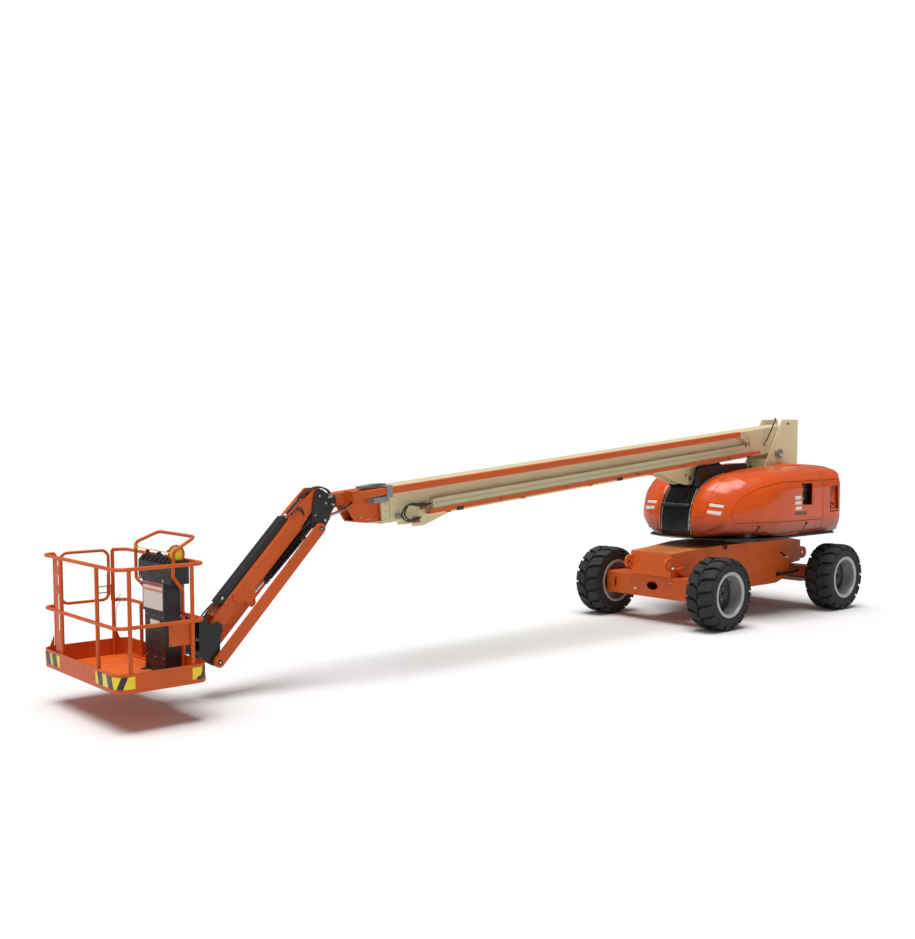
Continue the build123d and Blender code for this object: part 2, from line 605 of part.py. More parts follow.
with BuildPart() as tube_guide:
    # guide round the push tube, on the collar's near side
    with BuildSketch(boom_cut(8050)) as tg:
        Polygon((169, 338), (284, 338), (284, 478), (169, 478), align=None)
        Polygon((179, 366), (276, 366), (276, 458), (179, 458), align=None, mode=Mode.SUBTRACT)
    extrude(tg.sketch, amount=90)
    slab([(8152, 456), (8152, 500), (8400, 494), (8400, 470), (8300, 462)], boom_side(-150), 120)
    slab([(8040, 449), (8160, 449), (8160, 500), (8040, 490)], boom_side(-150), 120)
    slab([(8152, 290), (8320, 290), (8320, 355), (8152, 355)], boom_side(-262), 140)
    slab([(8100, 290), (8156, 290), (8156, 355), (8100, 355)], boom_side(-262), 93)
save(tube_guide, "tube_guide")

NOSE = [  # u, v
    (8165, 58), (8330, 58), (8500, 92), (8560, 200), (8610, 292), (8700, 302), (8870, 302), (8903, 340), (8900, 425),
    (8860, 455), (8165, 455),
]
with BuildPart() as boom_fly:
    box_section(FLY, FLY["tail"], 8200)
    # nose: two side plates, top and bottom plates, open at the front
    plates(NOSE, boom_side, 95, ARM_Y)
    slab([(8165, 435), (8860, 435), (8860, 455), (8165, 455)], boom_side(-ARM_Y), 2 * ARM_Y)
    slab([(8165, 58), (8330, 58), (8500, 92), (8500, 106), (8330, 74), (8165, 74)], boom_side(-ARM_Y), 2 * ARM_Y)
    slab([(8640, 302), (8860, 302), (8860, 318), (8640, 318)], boom_side(-ARM_Y), 2 * ARM_Y)
    pin(P_FLY, 62, -ARM_Y, ARM_Y)
    pin(P_FLY, 35 + FIT, -130, 130, Mode.SUBTRACT)
    # bracket that carries the push tube's end
    slab([(8520, 355), (8620, 355), (8620, 470), (8520, 470)], boom_side(-272), 165)
save(boom_fly, "boom_fly")

with BuildPart() as push_tube:
    with BuildSketch(boom_cut(1125)) as pt:
        with Locations((229, 412)):
            RectangleRounded(84, 80, 8)
            RectangleRounded(72, 68, 3, mode=Mode.SUBTRACT)
    extrude(pt.sketch, amount=8519 - 1125)
save(push_tube, "push_tube")

# ---- slave levelling cylinder inside the nose
S_AT_TOP = (8624.8, 232.3)   # its fork's place in (u, v) with the boom fully raised
S_UV = (8943.2, 172.25)
sl = hypot(S_UV[0] - S_AT_TOP[0], S_UV[1] - S_AT_TOP[1])
SD = ((S_UV[0] - S_AT_TOP[0]) / sl, (S_UV[1] - S_AT_TOP[1]) / sl)


def slave_pt(s):
    """Point s behind the fork on the cylinder's axis."""
    x, z = uv(S_UV[0] - SD[0] * s, S_UV[1] - SD[1] * s)
    return (x, 0, z)


sa, sb = slave_pt(0), slave_pt(100)
slave_dir = tuple((Vector(*sa) - Vector(*sb)).normalized())
with BuildPart() as level_slave_barrel:
    disc(slave_pt(960), slave_dir, 35, 495)
    disc(slave_pt(945), slave_dir, 20 + FIT, 500, Mode.SUBTRACT)
    # trunnion to the nose plates
    pin((slave_pt(500)[0], slave_pt(500)[2]), 26, 28, 94)
    pin((slave_pt(500)[0], slave_pt(500)[2]), 26, -94, -28)
save(level_slave_barrel, "level_slave_barrel")
with BuildPart() as level_slave_rod:
    disc(slave_pt(620), slave_dir, 20, 515)
    c = slave_pt(105)
    pin((c[0], c[2]), 22, -80, 80)
    plates([(x, z) for x, z in capsule((0, 0), (105, 0), 26)],
           lambda y: Plane(origin=(SLEW_X + P_S[0], y, P_S[1]), x_dir=(-slave_dir[0], 0, -slave_dir[2]), z_dir=(0, 1, 0)),
           60, 80)
save(level_slave_rod, "level_slave_rod")

# =============================================================== LEVEL BRACKET
BRACKET = [  # x, z
    (-7838, 2160), (-7810, 2185), (-7748, 2185), (-7700, 2150), (-7647, 2118), (-7580, 2108), (-7558, 2060), (-7568, 2010),
    (-7593, 1965), (-7642, 1893), (-7657, 1837), (-7735, 1725), (-7780, 1688), (-7835, 1690), (-7866, 1730), (-7892, 1810),
    (-7884, 1940), (-7866, 2073),
]
with BuildPart() as level_bracket:
    plates(flip(BRACKET), side_up, BRACKET_Y, BRACKET_Y + BRACKET_T)
    pin(P_FLY, 35, -145, 145)
    pin(P_J, 30, -144, 144)
    # cut the jib pin open in the middle, where the cylinder swings past
    block(-7900, -7700, -75, 75, 2050, 2180, Mode.SUBTRACT)
    pin(P_C, 24, -130, 130)
    for y0, y1 in ((-122, -84), (84, 122)):
        pin(P_S, 20, y0, y1)
    pin(P_L, 28, -202, -120)
    pin(P_L, 28, 120, 202)
save(level_bracket, "level_bracket")

# ======================================================================== JIB
JIB_LEN = hypot(P_J2[0] - P_J[0], P_J2[1] - P_J[1])


def arm_plane(y=0.0):
    return arm_frame(P_J, P_J2, y)


with BuildPart() as jib_arm:
    # tube with chamfered lower edges; local x along the arm, local y up
    tube = arm_frame(P_J, P_J2)
    section = Plane(origin=tube.origin + tube.x_dir * 400, x_dir=(0, -1, 0), z_dir=tube.x_dir)
    with BuildSketch(section) as sec:
        Polygon((-115, 96), (-108, 103), (108, 103), (115, 96), (115, -62), (84, -150), (-84, -150), (-115, -62), align=None)
        Polygon((-72, 85), (72, 85), (72, -160), (-72, -160), align=None, mode=Mode.SUBTRACT)
    extrude(sec.sketch, amount=JIB_LEN - 400 - 120)
    slab([(395, -96), (1330, -96), (1330, -170), (395, -170)], arm_plane(-130), 260, Mode.SUBTRACT)
    # side plates of the upper neck and of the lower end
    plates([(-62, -62), (40, -75), (180, -62), (460, -62), (460, 103), (300, 103), (60, 92), (-30, 86), (-75, 40), (-80, -25)],
           arm_plane, 80, ARM_Y)
    slab([(140, 80), (420, 85), (420, 103), (300, 103), (140, 96)], arm_plane(-ARM_Y), 2 * ARM_Y)
    plates([(JIB_LEN - 240, -62), (JIB_LEN + 20, -70), (JIB_LEN + 66, -30), (JIB_LEN + 66, 30), (JIB_LEN + 25, 66),
            (JIB_LEN - 60, 90), (JIB_LEN - 240, 103)], arm_plane, 80, ARM_Y)
    slab([(JIB_LEN - 230, 85), (JIB_LEN - 80, 80), (JIB_LEN - 70, 94), (JIB_LEN - 230, 103)], arm_plane(-ARM_Y), 2 * ARM_Y)
    # closing web at the lower end
    slab([(JIB_LEN - 150, -145), (JIB_LEN - 130, -145), (JIB_LEN - 130, 90), (JIB_LEN - 150, 90)], arm_plane(-84), 168)
    # doublers that hold the cylinder's rod pin
    DOUBLER = [(270, -20), (266, 40), (300, 78), (345, 92), (1500, 92), (1543, 57), (1543, -20), (1470, -76), (1472, -164),
               (1452, -190), (1400, -188), (1360, -140), (1275, -62), (300, -58)]
    plates(DOUBLER, arm_plane, 114, 135)
    plates([(1330, -64), (1360, -140), (1400, -188), (1452, -190), (1472, -164), (1480, -64)], arm_plane, 73, 115)
    for y0, y1 in ((-141, -60), (60, 141)):
        pin(P_D, 24, y0, y1)
    pin(P_J, 30 + FIT, -140, 140, Mode.SUBTRACT)
    pin(P_J2, 28 + FIT, -140, 140, Mode.SUBTRACT)
save(jib_arm, "jib_arm")

with BuildPart() as jib_hose_cover:
    slab([(450, 103), (1672, 103), (1690, 185), (470, 185)], arm_plane(-98), 108)
save(jib_hose_cover, "jib_hose_cover")

with BuildPart() as jib_link:
    ll = hypot(P_L2[0] - P_L[0], P_L2[1] - P_L[1])
    for y0 in (BAR_Y0, -BAR_Y1):
        slab(capsule((0, 0), (ll, 0), 59, 12), arm_frame(P_L, P_L2, y0), BAR_Y1 - BAR_Y0)
    pin(P_L, 28 + FIT, -210, 210, Mode.SUBTRACT)
    pin(P_L2, 28 + FIT, -210, 210, Mode.SUBTRACT)
save(jib_link, "jib_link")

jc_len = hypot(P_D[0] - P_C[0], P_D[1] - P_C[1])
jd = ((P_D[0] - P_C[0]) / jc_len, 0, (P_D[1] - P_C[1]) / jc_len)


def jc_at(s):
    return (P_C[0] + jd[0] * s, 0, P_C[1] + jd[2] * s)


with BuildPart() as jib_cylinder_barrel:
    disc(jc_at(30), jd, 47, 860)
    disc(jc_at(850), jd, 55, 60)
    pin(P_C, 50, -50, 50)
    pin(P_C, 24 + FIT, -60, 60, Mode.SUBTRACT)
    disc(jc_at(70), jd, 24 + FIT, 900, Mode.SUBTRACT)
save(jib_cylinder_barrel, "jib_cylinder_barrel")
with BuildPart() as jib_cylinder_rod:
    disc(jc_at(122), jd, 24, jc_len - 132)
    pin(P_D, 40, -45, 45)
save(jib_cylinder_rod, "jib_cylinder_rod")

HEAD = [  # x, z
    (-9150, 812), (-9095, 820), (-9052, 790), (-9050, 740), (-9080, 640), (-9085, 470), (-9068, 400), (-9085, 360),
    (-9130, 345), (-9190, 372), (-9290, 430), (-9330, 480), (-9330, 905), (-9270, 905), (-9215, 812),
]
with BuildPart() as jib_head:
    plates(flip(HEAD), side_up, BRACKET_Y, BRACKET_Y + BRACKET_T)
    pin(P_J2, 28, -144, 144)
    pin(P_L2, 28, -202, -120)
    pin(P_L2, 28, 120, 202)
    # web between the plates and the rotator's housing
    block(-9330, -9300, -125, 125, 490, 900)
    disc((ROT_X, 0, 560), (0, 0, 1), 92, 290)
    block(-9440, -9310, -70, 70, 560, 850)
    disc((ROT_X, 0, 520), (0, 0, 1), 35 + FIT, 400, Mode.SUBTRACT)
save(jib_head, "jib_head")

# =================================================================== PLATFORM
with BuildPart() as platform_carrier:
    # rotator's output: shaft, two flanges, and the frame under and behind the pan
    disc((ROT_X, 0, 500), (0, 0, 1), 35, 420)
    for z0 in (520, 856):
        disc((ROT_X, 0, z0), (0, 0, 1), 88, 34)
        block(-9600, ROT_X, -88, 88, z0, z0 + 34)
    block(-9639, -9598, -240, 240, 400, 905)
    for y in (-235, 205):
        block(-9860, -9605, y, y + 30, 340, 396)
        block(-9639, -9605, y, y + 30, 340, 420)
save(platform_carrier, "platform_carrier")

with BuildPart() as platform_pan:
    cx, hx = (PAN["x0"] + PAN["x1"]) / 2, (PAN["x1"] - PAN["x0"]) / 2
    with BuildSketch(level(PAN["z0"], cx)) as pan0:
        RectangleRounded(2 * hx, 2 * PAN["y"], PAN["r"])
    extrude(pan0.sketch, amount=PAN["z1"] - PAN["z0"])
    with BuildSketch(level(PAN["z0"] + 8, cx)) as pan1:
        RectangleRounded(2 * hx - 12, 2 * PAN["y"] - 12, PAN["r"] - 6)
    extrude(pan1.sketch, amount=PAN["z1"], mode=Mode.SUBTRACT)
save(platform_pan, "platform_pan")

XF, XB, YS = -10577.0, -9668.0, 888.0
POST_R = 20.0
with BuildPart() as platform_rails:
    POSTS = [  # x, y, foot z, top z
        (-10455, -YS, 405, TOP_Z), (-9805, -YS, 405, TOP_Z), (-10455, YS, 405, TOP_Z), (-9812, YS, 405, TOP_Z),
        (XF, -441, 405, TOP_Z), (XF, 425, 405, TOP_Z), (XB, 509, 405, MID_Z), (XB, -430, 405, TOP_Z),
    ]
    for x, y, z0, z1 in POSTS:
        disc((x, y, z0), (0, 0, 1), POST_R, z1 - z0)
    # top and middle rails: from the gate round three sides and back to it
    for z in (TOP_Z, MID_Z):
        path_pts = [(-10455, YS), (XF, YS), (XF, -YS), (XB, -YS), (XB, YS), (-9812, YS)]
        with BuildLine() as ln:
            FilletPolyline(*[(SLEW_X + x, y, z) for x, y in path_pts], radius=95)
        with BuildSketch(Plane(origin=(SLEW_X - 10455, YS, z), z_dir=(-1, 0, 0))) as rs2:
            Circle(RAIL_R)
        sweep(rs2.sketch, path=ln.line)
    # thin rail under the top rail, near side and far back corner
    for pts in ([(-10585, -860), (-10565, -YS + 4), (XB - 30, -YS + 4), (XB - 10, -860)],):
        with BuildLine() as ln2:
            FilletPolyline(*[(SLEW_X + x, y, 1502) for x, y in pts], radius=14)
    # bolted plate on the near side
    block(-10045, -9790, -YS + 18, -YS + 26, 780, 1000)
save(platform_rails, "platform_rails")

with BuildPart() as overhead_guard:
    pts3 = [(-9818, 66, 1230), (-9870, 190, 1330), (-9870, 190, 1700), (-9625, 150, 1800), (-9635, -645, 1800),
            (-9869, -645, 1666), (-9879, -645, 1418), (-9782, -645, 1290), (-9681, -455, 1262)]
    with BuildLine() as gl:
        FilletPolyline(*[(SLEW_X + x, y, z) for x, y, z in pts3], radius=[30, 60, 60, 55, 50, 40, 35])
    with BuildSketch(Plane(origin=gl.line @ 0, z_dir=gl.line % 0)) as gs:
        Circle(17)
    sweep(gs.sketch, path=gl.line)
save(overhead_guard, "overhead_guard")

with BuildPart() as control_console:
    block(-9862, -9690, -424, 24, 405, 1018)
    block(-9870, -9690, -430, 50, 1018, 1340)
    slab(flip([(-9882, 1335), (-9690, 1335), (-9690, 1570), (-9836, 1578), (-9882, 1530)]), side_up(-620), 730)
save(control_console, "control_console")

with BuildPart() as platform_gate:
    gate_pts = [(-10395, 1022), (-10395, 1560), (-9860, 1560), (-9860, 1022)]
    with BuildLine() as gln:
        FilletPolyline(*[(SLEW_X + x, YS, z) for x, z in gate_pts], radius=80, close=True)
    with BuildSketch(Plane(origin=(SLEW_X - 10395, YS, 1300), z_dir=(0, 0, 1))) as gsk:
        Circle(16)
    sweep(gsk.sketch, path=gln.line)
    block(-9880, -9850, YS - 6, YS + 6, 1150, 1300)
save(platform_gate, "platform_gate")
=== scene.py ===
import json
import math

import bmesh
import bpy
import numpy as np
from mathutils import Matrix, Vector


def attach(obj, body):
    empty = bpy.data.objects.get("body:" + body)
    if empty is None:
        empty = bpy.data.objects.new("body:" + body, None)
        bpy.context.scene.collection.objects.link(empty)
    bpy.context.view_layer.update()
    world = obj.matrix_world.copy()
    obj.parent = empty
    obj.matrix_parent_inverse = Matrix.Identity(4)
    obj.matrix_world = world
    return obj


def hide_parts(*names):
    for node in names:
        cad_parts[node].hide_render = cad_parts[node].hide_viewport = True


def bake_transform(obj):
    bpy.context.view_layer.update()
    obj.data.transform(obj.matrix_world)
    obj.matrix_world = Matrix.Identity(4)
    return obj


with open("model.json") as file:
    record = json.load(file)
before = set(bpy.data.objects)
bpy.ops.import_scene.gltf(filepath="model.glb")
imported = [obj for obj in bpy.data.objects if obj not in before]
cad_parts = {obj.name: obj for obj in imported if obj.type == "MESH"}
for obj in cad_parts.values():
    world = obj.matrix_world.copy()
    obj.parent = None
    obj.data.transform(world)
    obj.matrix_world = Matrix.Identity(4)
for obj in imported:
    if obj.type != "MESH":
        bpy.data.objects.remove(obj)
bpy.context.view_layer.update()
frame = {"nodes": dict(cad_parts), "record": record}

SX = 4.281                      # x of the slew axis in the row frame
SLOPE = math.radians(5.2)
PIVOT = (1.206, 2.466)
EX, EZ = -math.cos(SLOPE), -math.sin(SLOPE)
NX, NZ = -math.sin(SLOPE), math.cos(SLOPE)


def at(x, y, z):
    """A point given from the slew axis."""
    return Vector((SX + x, y, z))


def uv(u, v, y=0.0):
    """A point given along and square to the boom."""
    return at(PIVOT[0] + u * EX + v * NX, y, PIVOT[1] + u * EZ + v * NZ)


# ---------------------------------------------------------------- camera
F_PX, CX, CY = 1121.36, 410.40, 519.12
YAW, PITCH, ROLL = 0.886, -0.078, -0.002
CAM_AT = (-14.966, -10.545, 2.834)


def make_camera():
    d = Vector((math.cos(YAW) * math.cos(PITCH), math.sin(YAW) * math.cos(PITCH), math.sin(PITCH)))
    r = Vector((math.sin(YAW), -math.cos(YAW), 0.0))
    u = r.cross(d)
    r2 = r * math.cos(ROLL) + u * math.sin(ROLL)
    u2 = -r * math.sin(ROLL) + u * math.cos(ROLL)
    m = Matrix((r2, u2, -d)).transposed().to_4x4()
    m.translation = at(*CAM_AT)
    cam = bpy.data.cameras.new("camera")
    ob = bpy.data.objects.new("camera", cam)
    bpy.context.scene.collection.objects.link(ob)
    ob.matrix_world = m
    cam.sensor_fit = "AUTO"
    cam.sensor_width = 36.0
    cam.lens = F_PX / 939.0 * 36.0
    cam.shift_x = (457.5 - CX) / 939.0
    cam.shift_y = (CY - 469.5) / 939.0
    cam.clip_start, cam.clip_end = 0.1, 400.0
    bpy.context.scene.camera = ob


make_camera()


# ---------------------------------------------------------------- materials
def srgb(r, g, b):
    return tuple((c / 255 / 12.92 if c / 255 <= 0.04045 else ((c / 255 + 0.055) / 1.055) ** 2.4) for c in (r, g, b)) + (1.0,)


def new_material(name):
    m = bpy.data.materials.new(name)
    m.use_nodes = True
    nt = m.node_tree
    for n in list(nt.nodes):
        nt.nodes.remove(n)
    out = nt.nodes.new("ShaderNodeOutputMaterial")
    bsdf = nt.nodes.new("ShaderNodeBsdfPrincipled")
    nt.links.new(bsdf.outputs[0], out.inputs[0])
    return m, nt, bsdf


def node(nt, kind, **kw):
    n = nt.nodes.new(kind)
    for k, v in kw.items():
        if k in n.inputs:
            n.inputs[k].default_value = v
        else:
            setattr(n, k, v)
    return n


def mix(nt, a, b, fac, blend="MIX"):
    n = nt.nodes.new("ShaderNodeMix")
    n.data_type = "RGBA"
    n.blend_type = blend
    for socket, value in ((n.inputs[0], fac), (n.inputs[6], a), (n.inputs[7], b)):
        if hasattr(value, "links"):
            nt.links.new(value, socket)
        else:
            socket.default_value = value
    return n.outputs[2]


def ramp(nt, value, lo, hi, a=0.0, b=1.0):
    n = nt.nodes.new("ShaderNodeMapRange")
    n.inputs["From Min"].default_value = lo
    n.inputs["From Max"].default_value = hi
    n.inputs["To Min"].default_value = a
    n.inputs["To Max"].default_value = b
    nt.links.new(value, n.inputs["Value"])
    return n.outputs[0]


def finish_material(name, color, rough=0.4, metallic=0.0, vary=0.10, grime=0.25, grime_color=(0.10, 0.07, 0.05, 1), peel=0.10,
                    peel_scale=160.0, coat=0.0, chips=0.0, chip_color=(0.20, 0.19, 0.18, 1), scale=1.0, rough_vary=0.10,
                    dust_and_painted_light=0.0, dust_and_painted_light_color=(0.52, 0.45, 0.36, 1), grain=None, low=None, spec=0.5):
    """A coat of paint, plastic or metal: slow colour drift, grime in blotches, small chips, a top-face mix (settled
    dirt on most finishes, a bright orange painted highlight on the chassis), uneven gloss and a fine surface texture."""
    m, nt, bsdf = new_material(name)
    tc = nt.nodes.new("ShaderNodeTexCoord")
    P = tc.outputs["Object"]
    big = node(nt, "ShaderNodeTexNoise", Scale=1.3 * scale, Detail=5.0, Roughness=0.6)
    mid = node(nt, "ShaderNodeTexNoise", Scale=9.0 * scale, Detail=6.0, Roughness=0.65)
    fine = node(nt, "ShaderNodeTexNoise", Scale=peel_scale, Detail=2.0, Roughness=0.5)
    for n in (big, mid, fine):
        nt.links.new(P, n.inputs["Vector"])
    dark = tuple(c * (1 - vary) for c in color[:3]) + (1,)
    light = tuple(min(1.0, c * (1 + vary * 0.6)) for c in color[:3]) + (1,)
    col = mix(nt, dark, light, ramp(nt, big.outputs[0], 0.3, 0.7))
    if grime > 0:
        g = nt.nodes.new("ShaderNodeMath")
        g.operation = "MULTIPLY"
        nt.links.new(ramp(nt, mid.outputs[0], 0.52, 0.80, 0.0, grime), g.inputs[0])
        nt.links.new(ramp(nt, big.outputs[0], 0.35, 0.75, 0.2, 1.0), g.inputs[1])
        col = mix(nt, col, grime_color, g.outputs[0])
    # top faces: settled dirt on most finishes; on the chassis a bright orange painted highlight
    if dust_and_painted_light > 0:
        geo = nt.nodes.new("ShaderNodeNewGeometry")
        sep = nt.nodes.new("ShaderNodeSeparateXYZ")
        nt.links.new(geo.outputs["Normal"], sep.inputs[0])
        up = ramp(nt, sep.outputs[2], 0.3, 1.0, 0.0, dust_and_painted_light)
        md = nt.nodes.new("ShaderNodeMath")
        md.operation = "MULTIPLY"
        nt.links.new(up, md.inputs[0])
        nt.links.new(ramp(nt, mid.outputs[0], 0.3, 0.7, 0.3, 1.0), md.inputs[1])
        col = mix(nt, col, dust_and_painted_light_color, md.outputs[0])
    r_out = ramp(nt, mid.outputs[0], 0.3, 0.7, max(0.02, rough - rough_vary), min(1.0, rough + rough_vary))
    if low:
        # painted shade that darkens the skin towards its bottom edge
        z_top, z_end, low_shade_color, amount = low
        lz = nt.nodes.new("ShaderNodeSeparateXYZ")
        nt.links.new(P, lz.inputs[0])
        lm = nt.nodes.new("ShaderNodeMath")
        lm.operation = "MULTIPLY"
        nt.links.new(ramp(nt, lz.outputs[2], z_top, z_end, 0.0, amount), lm.inputs[0])
        nt.links.new(ramp(nt, mid.outputs[0], 0.3, 0.7, 0.86, 1.0), lm.inputs[1])
        col = mix(nt, col, low_shade_color, lm.outputs[0])
    if chips > 0:
        vor = node(nt, "ShaderNodeTexNoise", Scale=55.0 * scale, Detail=3.0, Roughness=0.7)
        nt.links.new(P, vor.inputs["Vector"])
        c = nt.nodes.new("ShaderNodeMath")
        c.operation = "MULTIPLY"
        nt.links.new(ramp(nt, vor.outputs[0], 0.70, 0.74), c.inputs[0])
        nt.links.new(ramp(nt, mid.outputs[0], 0.50, 0.62, 0.0, chips), c.inputs[1])
        col = mix(nt, col, chip_color, c.outputs[0])
    nt.links.new(col, bsdf.inputs["Base Color"])
    nt.links.new(r_out, bsdf.inputs["Roughness"])
    bsdf.inputs["Metallic"].default_value = metallic
    bsdf.inputs["Specular IOR Level"].default_value = spec
    if coat > 0:
        bsdf.inputs["Coat Weight"].default_value = coat
        bsdf.inputs["Coat Roughness"].default_value = 0.08
    height = fine.outputs[0]
    if grain == "brushed":
        mp = nt.nodes.new("ShaderNodeMapping")
        mp.inputs["Scale"].default_value = (6.0, 400.0, 400.0)
        nt.links.new(P, mp.inputs["Vector"])
        br = node(nt, "ShaderNodeTexNoise", Scale=1.0, Detail=3.0)
        nt.links.new(mp.outputs[0], br.inputs["Vector"])
        height = br.outputs[0]
    bump = nt.nodes.new("ShaderNodeBump")
    bump.inputs["Strength"].default_value = peel
    bump.inputs["Distance"].default_value = 0.002
    nt.links.new(height, bump.inputs["Height"])
    nt.links.new(bump.outputs[0], bsdf.inputs["Normal"])
    return m


ORANGE = srgb(210, 91, 30)
M = {}
M["orange_paint"] = finish_material("orange_paint", ORANGE, rough=0.42, grime=0.22, grime_color=srgb(120, 52, 26), chips=0.35,
                                    dust_and_painted_light=0.05, coat=0.04, spec=0.28)
# brighter copy of the orange paint: painted light on the chassis, with a bright orange painted highlight on its top
# faces
M["chassis_lit_paint"] = finish_material("chassis_lit_paint", srgb(230, 102, 36), rough=0.44, grime=0.20, grime_color=srgb(128, 56, 28), chips=0.35,
                                     dust_and_painted_light=0.95, dust_and_painted_light_color=srgb(255, 168, 96), coat=0.02, spec=0.22)
# hood plastic; its low band is painted shade, darker towards the bottom edge
M["hood_plastic"] = finish_material("hood_plastic", srgb(222, 84, 16), rough=0.30, grime=0.12, grime_color=srgb(150, 60, 26),
                                    chips=0.10, coat=0.24, peel=0.05, dust_and_painted_light=0.02, low=(1.56, 1.27, srgb(48, 18, 8), 0.94), spec=0.32)
M["cream_paint"] = finish_material("cream_paint", srgb(222, 208, 164), rough=0.46, vary=0.06, grime=0.22,
                                   grime_color=srgb(150, 132, 100), chips=0.25, dust_and_painted_light=0.10, dust_and_painted_light_color=srgb(236, 230, 212))
M["tan_paint"] = finish_material("tan_paint", srgb(236, 220, 176), rough=0.48, vary=0.06, grime=0.20,
                                 grime_color=srgb(140, 118, 84), chips=0.25)
M["black_paint"] = finish_material("black_paint", srgb(30, 30, 32), rough=0.46, spec=0.4, vary=0.18, grime=0.22, grime_color=srgb(72, 66, 60),
                                   chips=0.30, chip_color=srgb(130, 126, 120), coat=0.1)
M["grey_paint"] = finish_material("grey_paint", srgb(140, 140, 140), rough=0.45, vary=0.08, grime=0.30, grime_color=srgb(96, 86, 78), chips=0.2)
M["rim_paint"] = finish_material("rim_paint", srgb(172, 172, 172), rough=0.36, metallic=0.35, vary=0.08, grime=0.30,
                                 grime_color=srgb(112, 104, 94), chips=0.2)
M["rubber"] = finish_material("rubber", srgb(36, 36, 37), rough=0.78, vary=0.20, grime=0.35, grime_color=srgb(92, 86, 78), peel=0.35,
                              peel_scale=220.0, dust_and_painted_light=0.10, dust_and_painted_light_color=srgb(120, 112, 100), rough_vary=0.08)
M["rod_chrome"] = finish_material("rod_chrome", srgb(216, 216, 216), rough=0.22, metallic=0.55, vary=0.04, grime=0.12, peel=0.02,
                                  rough_vary=0.05)
M["black_plastic"] = finish_material("black_plastic", srgb(32, 32, 34), rough=0.50, vary=0.12, grime=0.22, grime_color=srgb(74, 72, 68),
                                     peel=0.25, peel_scale=500.0)
M["gloss_black"] = finish_material("gloss_black", srgb(24, 24, 26), rough=0.30, vary=0.10, grime=0.15, grime_color=srgb(56, 54, 52),
                                   peel=0.06, coat=0.10, spec=0.3)
M["hose"] = finish_material("hose", srgb(30, 30, 31), rough=0.42, vary=0.15, grime=0.20, grime_color=srgb(70, 66, 60), peel=0.3,
                            peel_scale=700.0)
M["track_plastic"] = finish_material("track_plastic", srgb(206, 192, 154), rough=0.55, vary=0.08, grime=0.30,
                                     grime_color=srgb(140, 124, 92))
M["tank_plastic"] = finish_material("tank_plastic", srgb(58, 58, 60), rough=0.55, vary=0.1, grime=0.25)
M["engine_block"] = finish_material("engine_block", srgb(78, 78, 80), rough=0.5, metallic=0.4, vary=0.15, grime=0.4)
M["steel"] = finish_material("steel", srgb(176, 176, 174), rough=0.30, metallic=1.0, vary=0.10, grime=0.30, grime_color=srgb(90, 80, 70),
                             grain="brushed", peel=0.10)
M["label"] = finish_material("label", srgb(232, 230, 224), rough=0.38, vary=0.03, grime=0.10, grime_color=srgb(176, 168, 150), coat=0.2)
M["label_red"] = finish_material("label_red", srgb(176, 36, 40), rough=0.38, vary=0.05, grime=0.10, coat=0.2)
M["label_amber"] = finish_material("label_amber", srgb(226, 142, 52), rough=0.38, vary=0.05, grime=0.10, coat=0.2)
M["yellow"] = finish_material("yellow", srgb(232, 206, 44), rough=0.42, vary=0.06, grime=0.18, grime_color=srgb(150, 120, 30))
M["brown_red"] = finish_material("brown_red", srgb(150, 84, 62), rough=0.5, vary=0.1, grime=0.3)
M["amber"] = finish_material("amber", srgb(250, 160, 40), rough=0.15, vary=0.05, grime=0.05, coat=0.6, peel=0.02)
# near black: painted shade in slots, holes and gaps; the bolted plate's bolt heads share it
M["dark_gap"] = finish_material("dark_gap", srgb(16, 14, 13), rough=0.8, vary=0.1, grime=0.1)


M["tape_yellow"] = finish_material("tape_yellow", srgb(246, 216, 34), rough=0.38, vary=0.05, grime=0.25, grime_color=srgb(150, 110, 40), coat=0.2)
M["tape_black"] = finish_material("tape_black", srgb(26, 25, 25), rough=0.40, vary=0.08, grime=0.25, grime_color=srgb(70, 60, 50), coat=0.2)
M["dish"] = finish_material("dish", srgb(104, 104, 105), rough=0.42, metallic=0.3, vary=0.10, grime=0.35, grime_color=srgb(70, 66, 62), chips=0.2)
M["mark"] = finish_material("mark", srgb(116, 100, 68), rough=0.6, vary=0.1, grime=0.3, grime_color=srgb(110, 96, 70))
# darker hood orange: painted shade in the hoods' grooves, slots and recess lines; the small studs share it
M["shade_orange"] = finish_material("shade_orange", srgb(150, 58, 20), rough=0.4, vary=0.05, grime=0.1)
M["silver_trim"] = finish_material("silver_trim", srgb(196, 196, 194), rough=0.3, metallic=0.6, vary=0.05, grime=0.2)
M["light_grey"] = finish_material("light_grey", srgb(176, 172, 164), rough=0.45, vary=0.05, grime=0.2)
M["brown_bar"] = finish_material("brown_bar", srgb(112, 72, 52), rough=0.45, vary=0.05, grime=0.15)


